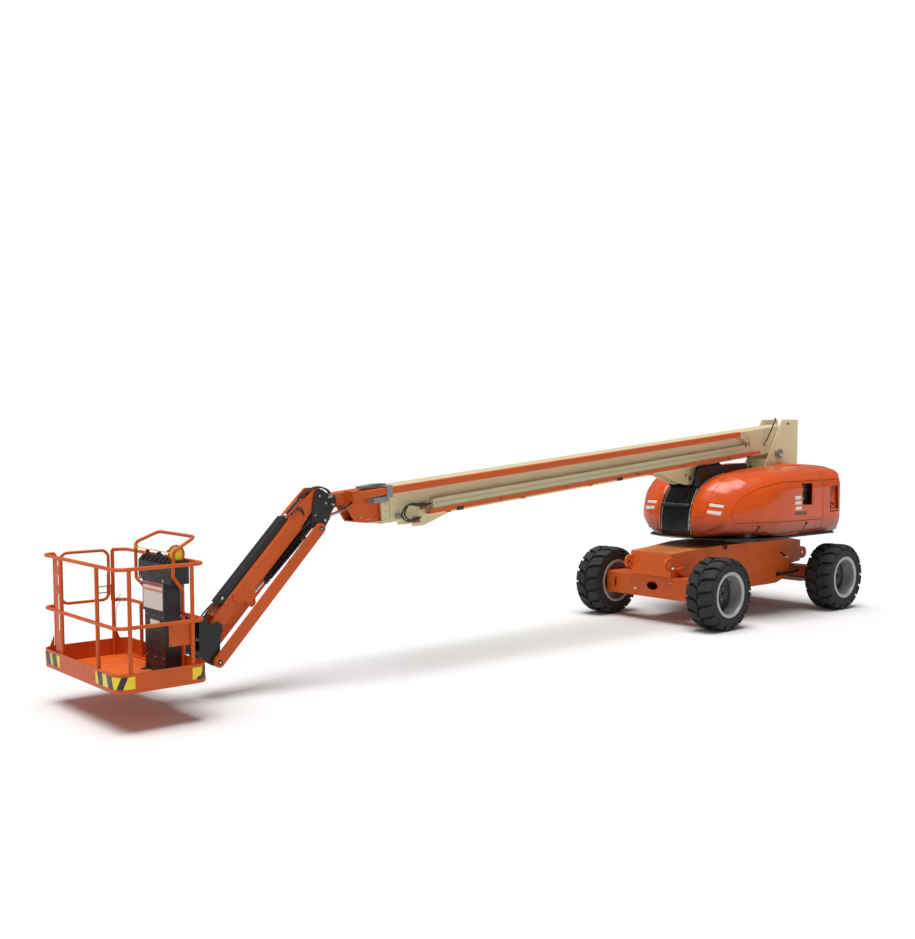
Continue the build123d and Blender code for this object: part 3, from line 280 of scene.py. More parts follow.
def floor_deck_material():
    """Orange tread plate of the platform's floor: raised lozenges in two directions."""
    m, nt, bsdf = new_material("tread_plate")
    tc = nt.nodes.new("ShaderNodeTexCoord")
    P = tc.outputs["Object"]
    noise = node(nt, "ShaderNodeTexNoise", Scale=6.0, Detail=6.0)
    nt.links.new(P, noise.inputs["Vector"])
    heights = []
    for turn in (math.radians(45), math.radians(-45)):
        mp = nt.nodes.new("ShaderNodeMapping")
        mp.inputs["Rotation"].default_value = (0, 0, turn)
        mp.inputs["Scale"].default_value = (22.0, 60.0, 1.0)
        nt.links.new(P, mp.inputs["Vector"])
        v = node(nt, "ShaderNodeTexVoronoi", Scale=1.0, Randomness=0.0)
        nt.links.new(mp.outputs[0], v.inputs["Vector"])
        heights.append(ramp(nt, v.outputs["Distance"], 0.30, 0.22))
    mx = nt.nodes.new("ShaderNodeMath"); mx.operation = "MAXIMUM"
    nt.links.new(heights[0], mx.inputs[0]); nt.links.new(heights[1], mx.inputs[1])
    col = mix(nt, srgb(236, 108, 34), srgb(196, 78, 28), ramp(nt, noise.outputs[0], 0.4, 0.75, 0.0, 0.7))
    nt.links.new(col, bsdf.inputs["Base Color"])
    nt.links.new(ramp(nt, noise.outputs[0], 0.3, 0.7, 0.36, 0.55), bsdf.inputs["Roughness"])
    bump = nt.nodes.new("ShaderNodeBump")
    bump.inputs["Strength"].default_value = 0.5
    bump.inputs["Distance"].default_value = 0.003
    nt.links.new(mx.outputs[0], bump.inputs["Height"])
    nt.links.new(bump.outputs[0], bsdf.inputs["Normal"])
    return m


M["tread_plate"] = floor_deck_material()


# ---------------------------------------------------------------- mesh kit
class Kit:
    """Collects simple closed shapes into one joined mesh."""

    def __init__(self):
        self.v, self.f, self.m, self.s = [], [], [], []
        self.mats = []

    def mat(self, name):
        if name not in self.mats:
            self.mats.append(name)
        return self.mats.index(name)

    def add(self, verts, faces, mat, smooth=False):
        base = len(self.v)
        self.v += [tuple(p) for p in verts]
        self.f += [tuple(base + i for i in face) for face in faces]
        k = self.mat(mat)
        self.m += [k] * len(faces)
        self.s += [smooth] * len(faces)

    def prism(self, pts, place, depth, mat, smooth=False):
        """Polygon pts given as (a, b), placed by place(a, b, h), closed between h = 0 and h = depth."""
        n = len(pts)
        v = [place(a, b, 0.0) for a, b in pts] + [place(a, b, depth) for a, b in pts]
        f = [tuple(range(n))[::-1], tuple(range(n, 2 * n))] + [(i, (i + 1) % n, n + (i + 1) % n, n + i) for i in range(n)]
        self.add(v, f, mat, smooth)

    def box(self, lo, hi, mat, chamfer=0.0):
        (x0, y0, z0), (x1, y1, z1) = lo, hi
        v = [(x, y, z) for x in (x0, x1) for y in (y0, y1) for z in (z0, z1)]
        f = [(0, 1, 3, 2), (4, 6, 7, 5), (0, 4, 5, 1), (2, 3, 7, 6), (0, 2, 6, 4), (1, 5, 7, 3)]
        self.add(v, f, mat)

    def lathe(self, profile, origin, axis, mat, n=32, smooth=True, closed=False):
        """Profile of (radius, height) turned round an axis."""
        o, a = Vector(origin), Vector(axis).normalized()
        t = a.orthogonal().normalized()
        b = a.cross(t)
        m = len(profile)
        v = []
        for i in range(n):
            w = 2 * math.pi * i / n
            d = t * math.cos(w) + b * math.sin(w)
            v += [o + a * h + d * r for r, h in profile]
        f = []
        for i in range(n):
            j = (i + 1) % n
            for k in range(m if closed else m - 1):
                l = (k + 1) % m
                f.append((i * m + k, j * m + k, j * m + l, i * m + l))
        if not closed:
            if profile[0][0] > 1e-6:
                f.append(tuple(i * m for i in range(n))[::-1])
            if profile[-1][0] > 1e-6:
                f.append(tuple(i * m + m - 1 for i in range(n)))
        self.add(v, f, mat, smooth)

    def rod(self, p, q, r, mat, n=16, edge=0.0):
        p, q = Vector(p), Vector(q)
        h = (q - p).length
        e = edge or min(r * 0.15, h * 0.2)
        self.lathe([(r - e, 0), (r, e), (r, h - e), (r - e, h)], p, q - p, mat, n)

    def bolt(self, p, axis, r, mat="steel", h=None, washer=True):
        """Hexagon head on a washer."""
        h = h or r * 0.8
        a = Vector(axis).normalized()
        p = Vector(p)
        if washer:
            self.lathe([(r * 1.25, 0), (r * 1.25, h * 0.2), (r * 1.15, h * 0.25)], p, a, mat, 16)
        self.lathe([(r, h * 0.2), (r, h * 0.9), (r * 0.86, h)], p, a, mat, 6, smooth=False)

    def tube(self, pts, r, mat, n=10, radii=None):
        pts = [Vector(p) for p in pts]
        t = [(pts[min(i + 1, len(pts) - 1)] - pts[max(i - 1, 0)]).normalized() for i in range(len(pts))]
        side = t[0].orthogonal().normalized()
        v = []
        for i, p in enumerate(pts):
            side = (side - t[i] * side.dot(t[i])).normalized()
            up = t[i].cross(side)
            rr = radii[i] if radii else r
            v += [p + (side * math.cos(2 * math.pi * k / n) + up * math.sin(2 * math.pi * k / n)) * rr for k in range(n)]
        f = [(i * n + k, i * n + (k + 1) % n, (i + 1) * n + (k + 1) % n, (i + 1) * n + k)
             for i in range(len(pts) - 1) for k in range(n)]
        f += [tuple(range(n))[::-1], tuple(range((len(pts) - 1) * n, len(pts) * n))]
        self.add(v, f, mat, True)

    def mesh(self, name):
        me = bpy.data.meshes.new(name)
        me.from_pydata(self.v, [], self.f)
        for k in self.mats:
            me.materials.append(M[k])
        me.polygons.foreach_set("material_index", self.m)
        bm = bmesh.new()
        bm.from_mesh(me)
        bmesh.ops.recalc_face_normals(bm, faces=bm.faces)
        bm.to_mesh(me)
        bm.free()
        ob = bpy.data.objects.new(name, me)
        bpy.context.scene.collection.objects.link(ob)
        return ob

    def make(self, name, body, bevel=0.0, segments=2, replaces=(), angle=35):
        return dress(self.mesh(name), body, bevel, segments, replaces, angle)


def dress(ob, body, bevel=0.0, segments=2, replaces=(), angle=35):
    me = ob.data
    me.polygons.foreach_set("use_smooth", [True] * len(me.polygons))
    me.set_sharp_from_angle(angle=math.radians(angle))
    if bevel > 0:
        b = ob.modifiers.new("edges", "BEVEL")
        b.width = bevel
        b.segments = segments
        b.limit_method = "ANGLE"
        b.angle_limit = math.radians(angle)
        b.harden_normals = True
        b.use_clamp_overlap = True
    if replaces:
        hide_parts(*replaces)
    if body:
        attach(ob, body)
    return ob


def smooth_path(pts, n=8):
    """Points along a Catmull-Rom curve through pts."""
    p = [Vector(q) for q in pts]
    p = [p[0] * 2 - p[1]] + p + [p[-1] * 2 - p[-2]]
    out = []
    for i in range(1, len(p) - 2):
        a, b, c, d = p[i - 1:i + 3]
        for k in range(n):
            t = k / n
            out.append(0.5 * ((2 * b) + (c - a) * t + (2 * a - 5 * b + 4 * c - d) * t * t + (3 * b - a - 3 * c + d) * t ** 3))
    out.append(p[-2])
    return out


def hose(name, pts, r, body, n=8, blend=None):
    """A hydraulic hose clipped at both ends, with crimped fittings."""
    k = Kit()
    path = smooth_path(pts, n)
    k.tube(path, r, "hose", 10)
    for a, b in ((path[0], path[1]), (path[-1], path[-2])):
        d = (b - a).normalized()
        k.lathe([(r * 1.15, 0), (r * 1.45, 0.004), (r * 1.45, 0.030), (r * 1.15, 0.036)], a, d, "steel", 12)
    if not blend:
        return k.make(name, body)
    ob = k.mesh(name)
    dress(ob, None)
    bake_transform(ob)
    return ob


# ---------------------------------------------------------------- CAD nodes, with rounded edges
BODY = {n: b for b, ns in frame["record"]["behaviour"]["bodies"].items() for n in ns}
SLOT = {s["node"]: s["material_slot"] for s in frame["record"]["subparts"]}


def refine(name, width=0.003, segments=2, angle=32, material=None):
    """The node's own shape with its edges rounded off and its paint."""
    src = frame["nodes"][name]
    me = src.data.copy()
    ob = bpy.data.objects.new(name + "_body", me)
    bpy.context.scene.collection.objects.link(ob)
    bm = bmesh.new()
    bm.from_mesh(me)
    bmesh.ops.remove_doubles(bm, verts=bm.verts, dist=2e-5)
    bmesh.ops.dissolve_limit(bm, angle_limit=math.radians(0.8), use_dissolve_boundaries=False, verts=bm.verts, edges=bm.edges)
    bm.to_mesh(me)
    bm.free()
    me.materials.clear()
    me.materials.append(M[material or SLOT[name]])
    me.polygons.foreach_set("material_index", [0] * len(me.polygons))
    return dress(ob, BODY[name], width, segments, (name,), angle)


REFINE = {  # node: edge radius
    "chassis_frame": 0.006, "slew_ring": 0.002, "rear_axle": 0.005, "front_axle": 0.005, "axle_cylinders": 0.002,
    "steering_rod": 0.002, "steering_knuckle_left": 0.003, "steering_knuckle_right": 0.003, "turntable_deck": 0.004,
    "uprights": 0.004, "engine": 0.02, "fluid_tanks": 0.012, "ground_controls": 0.006,
    "lift_cylinder_barrel": 0.003, "lift_cylinder_rod": 0.002, "level_master_barrel": 0.002, "level_master_rod": 0.001,
    "boom_base": 0.004, "hose_tray": 0.002, "boom_mid": 0.004, "tube_guide": 0.003, "boom_fly": 0.004, "push_tube": 0.004,
    "level_slave_barrel": 0.002, "level_slave_rod": 0.002, "level_bracket": 0.003, "jib_arm": 0.004,
    "jib_link": 0.005, "jib_cylinder_barrel": 0.003, "jib_cylinder_rod": 0.002, "jib_head": 0.003, "platform_carrier": 0.003,
    "platform_pan": 0.003, "platform_rails": 0.001, "overhead_guard": 0.001, "platform_gate": 0.001,
    "jib_hose_cover": 0.008,
}
# the chassis frame takes the brighter chassis paint, which carries painted light
for _n, _w in REFINE.items():
    refine(_n, _w, material="chassis_lit_paint" if _n == "chassis_frame" else None)
for _w in ("front_left", "front_right", "rear_left", "rear_right"):
    refine("rim_" + _w, 0.002, 2, 28)
    refine("hub_" + _w, 0.003)

# ---------------------------------------------------------------- wheels
TR, TW = 0.520, 0.210          # outer radius, half width
LUGS = 17


def crown(w):
    """Radius of the tread's outer surface at distance w from the middle."""
    a = abs(w) / TW
    return TR - 0.004 * a * a - 0.030 * max(0.0, a - 0.72) ** 2 / 0.0784


def build_tyre(tag, x, s):
    k = Kit()
    c = at(x, s * 1.035, TR)
    # carcass: (radius, distance from the middle), all the way round
    half = [(0.4835, 0.0), (0.4830, 0.08), (0.4800, 0.135), (0.4700, 0.175), (0.4520, 0.197), (0.4300, 0.2045), (0.4260, 0.2085),
            (0.4180, 0.2090), (0.4140, 0.2060), (0.3900, 0.2065), (0.3600, 0.2020), (0.3440, 0.1980), (0.3400, 0.2010),
            (0.3340, 0.2010), (0.3300, 0.1960), (0.3280, 0.1935), (0.3010, 0.1925)]
    prof = [(r, w) for r, w in half] + [(r, -w) for r, w in reversed(half[1:])]
    prof = [(r, w) for r, w in prof]
    k.lathe(prof, c, (0, 1, 0), "rubber", 96, closed=True)
    # lugs: bars that start on the shoulder and curl past the middle, from both sides in turn
    for side_ in (1, -1):
        for i in range(LUGS):
            a0 = 2 * math.pi * (i + (0.5 if side_ < 0 else 0.0)) / LUGS
            steps = 9
            v = []
            for j in range(steps):
                t = j / (steps - 1)
                w = 0.209 - t * 0.200               # from the shoulder almost to the middle
                bend = 0.020 * t + 0.070 * t * t + 0.012 * math.sin(2 * math.pi * t)    # the bar leans and curls
                half_w = 0.0725 - 0.006 * t if j < steps - 1 else 0.052
                top = crown(w)
                bot = 0.470 if j == 0 else (0.468 if w > 0.17 else 0.479)
                if j == 0:
                    top = 0.4860
                for r, hw in ((bot, half_w + 0.005), (top, half_w), (top, -half_w), (bot, -half_w - 0.005)):
                    ang = a0 + (bend + hw) / TR
                    v.append(c + Vector((math.cos(ang) * r, side_ * w, math.sin(ang) * r)))
            f = []
            for j in range(steps - 1):
                for q in range(4):
                    f.append((j * 4 + q, j * 4 + (q + 1) % 4, (j + 1) * 4 + (q + 1) % 4, (j + 1) * 4 + q))
            f += [(0, 1, 2, 3), tuple((steps - 1) * 4 + q for q in (3, 2, 1, 0))]
            # shoulder foot of the lug, down the sidewall
            k.add(v, f, "rubber")
            w0 = 0.206
            foot = []
            for r, ww, hw in ((0.482, 0.2090, 0.066), (0.482, 0.1960, 0.070), (0.447, 0.2092, 0.050), (0.447, 0.2000, 0.054)):
                for sg in (1, -1):
                    ang = a0 + sg * hw / TR
                    foot.append(c + Vector((math.cos(ang) * r, side_ * ww, math.sin(ang) * r)))
            k.add(foot, [(0, 1, 3, 2), (4, 6, 7, 5), (0, 4, 5, 1), (2, 3, 7, 6), (0, 2, 6, 4), (1, 5, 7, 3)], "rubber")
    k.make("tyre_tread_" + tag, "wheel_" + tag, 0.004, 2, ("tyre_" + tag,), 40)
    # wheel bolts, valve, drain plugs
    b = Kit()
    for i in range(9):
        w = 2 * math.pi * (i + 0.5) / 9
        for rad, off, br in ((0.178, -0.0465, 0.013),):
            p = c + Vector((math.cos(w) * rad, s * off, math.sin(w) * rad))
            b.bolt(p, (0, s, 0), br, "steel", 0.018)
    for i in range(8):
        w = 2 * math.pi * i / 8 + 0.2
        p = c + Vector((math.cos(w) * 0.088, s * 0.082, math.sin(w) * 0.088))
        b.bolt(p, (0, s, 0), 0.009, "steel" if i in (2, 5) else "black_paint", 0.007)
    # dark coat on the sunk dish
    b.lathe([(0.1410, -0.0460), (0.1500, -0.0460), (0.2612, -0.0330), (0.2680, 0.0180), (0.2650, 0.0150), (0.2590, -0.0380),
             (0.1500, -0.0500), (0.1410, -0.0500)], c, (0, s, 0), "dish", 48, closed=True)
    b.lathe([(0.034, 0), (0.034, 0.010), (0.026, 0.016), (0.010, 0.018)], c + Vector((0, s * 0.082, 0)), (0, s, 0), "black_paint", 24)
    w = 0.7
    p = c + Vector((math.cos(w) * 0.262, s * 0.05, math.sin(w) * 0.262))
    b.rod(p, p + Vector((-math.cos(w) * 0.03, s * 0.035, -math.sin(w) * 0.03)), 0.006, "rubber", 10)
    b.make("wheel_bolts_" + tag, "wheel_" + tag, 0.0)


for tag, x, s in (("front_left", 1.525, 1), ("front_right", 1.525, -1), ("rear_left", -1.525, 1), ("rear_right", -1.525, -1)):
    build_tyre(tag, x, s)

# ---------------------------------------------------------------- hoods
SIDE_O = [(-1.160, 1.205), (-1.245, 1.285), (-1.285, 1.42), (-1.300, 1.56), (-1.268, 1.70), (-1.168, 1.86), (-1.015, 2.01),
          (-0.850, 2.108), (-0.650, 2.180), (-0.320, 2.214), (0.16, 2.250), (0.73, 2.292), (1.00, 2.308), (1.25, 2.318), (1.46, 2.292),
          (1.56, 2.225), (1.610, 2.12), (1.665, 1.85), (1.700, 1.65), (1.716, 1.50), (1.690, 1.38), (1.610, 1.275), (1.54, 1.205)]
PLAN_O = [(-1.50, 0.0), (-1.49, 0.24), (-1.395, 0.45), (-1.225, 0.625), (-1.015, 0.790), (-0.775, 0.945), (-0.475, 1.085),
          (-0.17, 1.158), (0.12, 1.176), (1.30, 1.176), (1.50, 1.138), (1.62, 1.045), (1.69, 0.86), (1.718, 0.50), (1.718, 0.0)]
CROSS_O = [(0.0, 1.205), (1.030, 1.205), (1.115, 1.34), (1.170, 1.46), (1.176, 1.60), (1.176, 1.98), (1.132, 2.10), (1.04, 2.205),
           (0.89, 2.272), (0.70, 2.303), (0.0, 2.330)]


def sd_poly(px, py, poly):
    """Signed distance from points to a polygon, negative inside."""
    P = np.array(poly, float)
    Q = np.roll(P, -1, 0)
    d = np.full(px.shape, 1e9)
    inside = np.zeros(px.shape, bool)
    for (ax, ay), (bx, by) in zip(P, Q):
        ex, ey = bx - ax, by - ay
        wx, wy = px - ax, py - ay
        t = np.clip((wx * ex + wy * ey) / (ex * ex + ey * ey), 0, 1)
        d = np.minimum(d, (wx - ex * t) ** 2 + (wy - ey * t) ** 2)
        cond = ((ay > py) != (by > py)) & (px < (bx - ax) * (py - ay) / (by - ay + 1e-12) + ax)
        inside ^= cond
    d = np.sqrt(d)
    return np.where(inside, -d, d)


def smax(a, b, k):
    h = np.clip(0.5 + 0.5 * (a - b) / k, 0, 1)
    return b * (1 - h) + a * h + k * h * (1 - h)


def inset_poly(poly, t):
    """Polygon moved inwards by t, corner by corner (the outline is nearly convex)."""
    P = [Vector(p) for p in poly]
    area = sum(P[i].x * P[(i + 1) % len(P)].y - P[(i + 1) % len(P)].x * P[i].y for i in range(len(P)))
    sgn = 1 if area > 0 else -1
    out = []
    for i in range(len(P)):
        a, b, c = P[i - 1], P[i], P[(i + 1) % len(P)]
        n1 = Vector((-(b - a).y, (b - a).x)).normalized() * sgn
        n2 = Vector((-(c - b).y, (c - b).x)).normalized() * sgn
        m = (n1 + n2)
        m = m / max(0.3, m.length_squared) * 2
        out.append(tuple(b + m * t))
    return out


def hood_field(x, y, z, wall=0.280):
    a, b, c = sd_poly(x, z, SIDE_O), sd_poly(x, y, PLAN_O), sd_poly(y, z, CROSS_O)
    t = np.clip((x + 0.7) / 1.2, 0, 1)
    k = 0.55 + (0.16 - 0.55) * t * t * (3 - 2 * t)
    f = smax(smax(a, b, k), c, 0.10)
    return smax(f, wall - y, 0.012)


def on_skins(pts, off=0.0):
    """The points of the hood's outer skin that pts stand over, raised by off."""
    P = np.array([tuple(p) for p in pts], float)
    side_ = np.where(P[:, 1] >= 0, 1.0, -1.0)
    P[:, 1] = np.abs(P[:, 1])
    C = np.stack([np.clip(P[:, 0], -0.62, 1.20), np.full(len(P), 0.72), np.full(len(P), 1.74)], 1)
    D = P - C
    D /= np.linalg.norm(D, axis=1)[:, None]
    lo, hi = np.zeros(len(P)), np.full(len(P), 1.9)
    for _ in range(30):
        mid = (lo + hi) / 2
        Q = C + D * mid[:, None]
        f = hood_field(Q[:, 0], Q[:, 1], Q[:, 2])
        lo, hi = np.where(f < 0, mid, lo), np.where(f < 0, hi, mid)
    Q = C + D * (lo + off)[:, None]
    return [at(float(q[0]), float(q[1] * w), float(q[2])) for q, w in zip(Q, side_)]


def on_skin(p, off=0.0):
    return on_skins([p], off)[0]


def skin_patch(k, corners, mat, nu=5, nv=3, off=0.0016, deep=0.004):
    """A thin closed plate laid on the hood, its four corners given in turn."""
    A, B, C, D = [Vector(c) for c in corners]
    grid = [(A.lerp(B, i / nu)).lerp(D.lerp(C, i / nu), j / nv) for i in range(nu + 1) for j in range(nv + 1)]
    top, low = on_skins(grid, off), on_skins(grid, off - deep)
    m = nv + 1
    f = []
    n = len(top)
    for i in range(nu):
        for j in range(nv):
            a = i * m + j
            f.append((a, a + m, a + m + 1, a + 1))
            f.append((n + a, n + a + 1, n + a + m + 1, n + a + m))
    for i in range(nu):
        for a, b in ((i * m, (i + 1) * m), ((i + 1) * m + nv, i * m + nv)):
            f.append((a, n + a, n + b, b))
    for j in range(nv):
        for a, b in ((j + 1, j), (nu * m + j, nu * m + j + 1)):
            f.append((a, n + a, n + b, b))
    k.add(top + low, f, mat)


def skin_ribbon(k, pts, width, mat, off=0.0012, deep=0.004):
    """A narrow strip along a path on the hood."""
    P, Q = on_skins(pts, off), on_skins(pts, off - deep)
    v = []
    for i in range(len(P)):
        t = (P[min(i + 1, len(P) - 1)] - P[max(i - 1, 0)]).normalized()
        w = t.cross((P[i] - Q[i]).normalized()).normalized() * (width / 2)
        v += [P[i] + w, P[i] - w, Q[i] - w, Q[i] + w]
    f = []
    for i in range(len(P) - 1):
        for q in range(4):
            f.append((i * 4 + q, i * 4 + (q + 1) % 4, i * 4 + 4 + (q + 1) % 4, i * 4 + 4 + q))
    n = (len(P) - 1) * 4
    f += [(0, 1, 2, 3), (n + 3, n + 2, n + 1, n)]
    k.add(v, f, mat)


def hood_surface(n_front=30, n_mid=64, n_rear=26, n_round=168):
    """Grid of points on the hood's outer skin: rays from an inner line, fanned over both ends."""
    x0, x1, yc, zc = -0.62, 1.20, 0.72, 1.74
    rows = []
    for i in range(n_front):
        rows.append((x0, -math.pi / 2 * (1 - i / n_front)))
    for i in range(n_mid + 1):
        rows.append((x0 + (x1 - x0) * i / n_mid, 0.0))
    for i in range(1, n_rear + 1):
        rows.append((x1, math.pi / 2 * i / n_rear))
    # rays evenly spaced all the way round
    t = np.arange(n_round) / n_round * 2 * math.pi
    ox, tilt = np.array([r[0] for r in rows]), np.array([r[1] for r in rows])
    dx = np.sin(tilt)[:, None] * np.ones(n_round)[None, :]
    dy = np.cos(tilt)[:, None] * np.cos(t)[None, :]
    dz = np.cos(tilt)[:, None] * np.sin(t)[None, :]
    X0 = ox[:, None] * np.ones(n_round)[None, :]
    lo, hi = np.zeros(X0.shape), np.full(X0.shape, 1.9)
    for _ in range(26):
        mid = (lo + hi) / 2
        f = hood_field(X0 + dx * mid, yc + dy * mid, zc + dz * mid)
        lo, hi = np.where(f < 0, mid, lo), np.where(f < 0, hi, mid)
    return np.stack([X0 + dx * lo, yc + dy * lo, zc + dz * lo], -1)


def grid_mesh(G):
    """Closed surface from a grid whose first and last rows are poles and whose columns wrap."""
    nr, nc = G.shape[:2]
    v = [tuple(G[0, 0])] + [tuple(G[i, j]) for i in range(1, nr - 1) for j in range(nc)] + [tuple(G[-1, 0])]
    f = []
    for j in range(nc):
        k = (j + 1) % nc
        f.append((0, 1 + k, 1 + j))
        for i in range(nr - 3):
            a = 1 + i * nc
            f.append((a + j, a + k, a + nc + k, a + nc + j))
        a = 1 + (nr - 3) * nc
        f.append((a + j, a + k, len(v) - 1))
    return v, f


def raw_mesh(name, v, f):
    me = bpy.data.meshes.new(name)
    me.from_pydata([tuple(p) for p in v], [], [tuple(q) for q in f])
    bm = bmesh.new()
    bm.from_mesh(me)
    bmesh.ops.recalc_face_normals(bm, faces=bm.faces)
    bm.to_mesh(me)
    bm.free()
    ob = bpy.data.objects.new(name, me)
    bpy.context.scene.collection.objects.link(ob)
    return ob


def prism_mesh(name, pts, place, depth):
    n = len(pts)
    v = [place(a, b, 0.0) for a, b in pts] + [place(a, b, depth) for a, b in pts]
    f = [tuple(range(n))[::-1], tuple(range(n, 2 * n))] + [(i, (i + 1) % n, n + (i + 1) % n, n + i) for i in range(n)]
    return raw_mesh(name, v, f)


def apply_mods(ob):
    bpy.context.view_layer.update()
    dg = bpy.context.evaluated_depsgraph_get()
    me = bpy.data.meshes.new_from_object(ob.evaluated_get(dg))
    ob.modifiers.clear()
    old = ob.data
    ob.data = me
    bpy.data.meshes.remove(old)
    return ob


def boolean(ob, cutter, op="DIFFERENCE"):
    m = ob.modifiers.new("cut", "BOOLEAN")
    m.operation = op
    m.object = cutter
    m.solver = "EXACT"
    apply_mods(ob)
    bpy.data.objects.remove(cutter)
    return ob


def dup(ob, name):
    o = bpy.data.objects.new(name, ob.data.copy())
    bpy.context.scene.collection.objects.link(o)
    return o


def arc_points(pts, n=6):
    return [tuple(p)[:2] for p in smooth_path([(a, b, 0) for a, b in pts], n)]


DOOR_CURVE = arc_points([(-0.868, 1.477), (-0.938, 1.572), (-0.936, 1.616), (-0.884, 1.714), (-0.770, 1.853), (-0.595, 1.949),
                         (-0.445, 2.001), (-0.142, 2.060), (0.345, 2.072), (0.955, 2.072)])
DOOR = DOOR_CURVE + [(0.955, 1.472), (-0.40, 1.478)]


def side_place(y0, sign=1.0):
    return lambda a, b, h: at(a, y0 + h * sign, b)


def build_hoods():
    G = hood_surface()
    v, f = grid_mesh(G)
    v = [at(*p) for p in v]
    shell = raw_mesh("hood_shell", v, f)
    sol = shell.modifiers.new("wall", "SOLIDIFY")
    sol.thickness = 0.014
    sol.offset = -1.0
    apply_mods(shell)
    # split the length: hood in front of x = 0.978, tail behind x = 0.985
    front = dup(shell, "hood_front_half")
    boolean(front, prism_mesh("c", [(-1.5, 1.0), (0.978, 1.0), (0.978, 2.6), (-1.5, 2.6)], side_place(0.0), 1.4), "INTERSECT")
    tail = shell
    boolean(tail, prism_mesh("c", [(0.986, 1.0), (1.9, 1.0), (1.9, 2.6), (0.986, 2.6)], side_place(0.0), 1.4), "INTERSECT")
    # the groove round the door
    outer = inset_poly(DOOR, -0.0035)
    inner = inset_poly(DOOR, 0.0035)
    door = dup(front, "door_shape")
    boolean(door, prism_mesh("c", inner, side_place(0.60), 0.7), "INTERSECT")
    hood = front
    boolean(hood, prism_mesh("c", outer, side_place(0.60), 0.7), "DIFFERENCE")
    # window cut out of the door
    boolean(door, prism_mesh("c", [(0.405, 1.715), (0.665, 1.700), (0.672, 2.035), (0.372, 2.035)], side_place(1.00), 0.3), "DIFFERENCE")
    # open floor above the deck
    boolean(hood, prism_mesh("c", [(-1.08, 1.15), (1.1, 1.15), (1.1, 1.262), (-1.08, 1.262)], side_place(0.294), 0.74), "DIFFERENCE")
    # groove between tail and its top cover
    boolean(tail, prism_mesh("c", [(0.9, 2.066), (1.9, 2.066), (1.9, 2.073), (0.9, 2.073)], side_place(0.27), 1.2), "DIFFERENCE")
    boolean(tail, prism_mesh("c", [(1.175, 1.570), (1.455, 1.570), (1.425, 1.975), (1.165, 1.975)], side_place(1.06), 0.2), "DIFFERENCE")
    return hood, door, tail


hood_r, door_r, tail_r = build_hoods()


def both_sides(ob, base, body_of, replaces_of, material="hood_plastic", bevel=0.0):
    """The shape was made for y > 0: this is the left one, and its mirror is the right one."""
    ob.data.materials.clear()
    ob.data.materials.append(M[material])
    ob.data.polygons.foreach_set("material_index", [0] * len(ob.data.polygons))
    other = dup(ob, base + "_right_skin")
    ob.name = base + "_left_skin"
    bm = bmesh.new()
    bm.from_mesh(other.data)
    for vert in bm.verts:
        vert.co.y = -vert.co.y
    bmesh.ops.reverse_faces(bm, faces=bm.faces)
    bm.to_mesh(other.data)
    bm.free()
    for o, tag in ((ob, "left"), (other, "right")):
        dress(o, body_of(tag), bevel, 2, replaces_of(tag), 34)


both_sides(hood_r, "hood", lambda t: "turntable", lambda t: ("hood_" + t,))
both_sides(door_r, "door", lambda t: "door_" + t, lambda t: ("hood_door_" + t,))
both_sides(tail_r, "tail", lambda t: "turntable", lambda t: ())
core = refine("counterweight", 0.004)
for vert in core.data.vertices:
    q = vert.co
    q.x = SX + 1.35 + (q.x - SX - 1.35) * 0.985
    q.y *= 0.970
    q.z = 1.75 + (q.z - 1.75) * 0.980

# ---------------------------------------------------------------- details on the hoods
def mirror(p, s):
    return (p[0], p[1] * s, p[2])


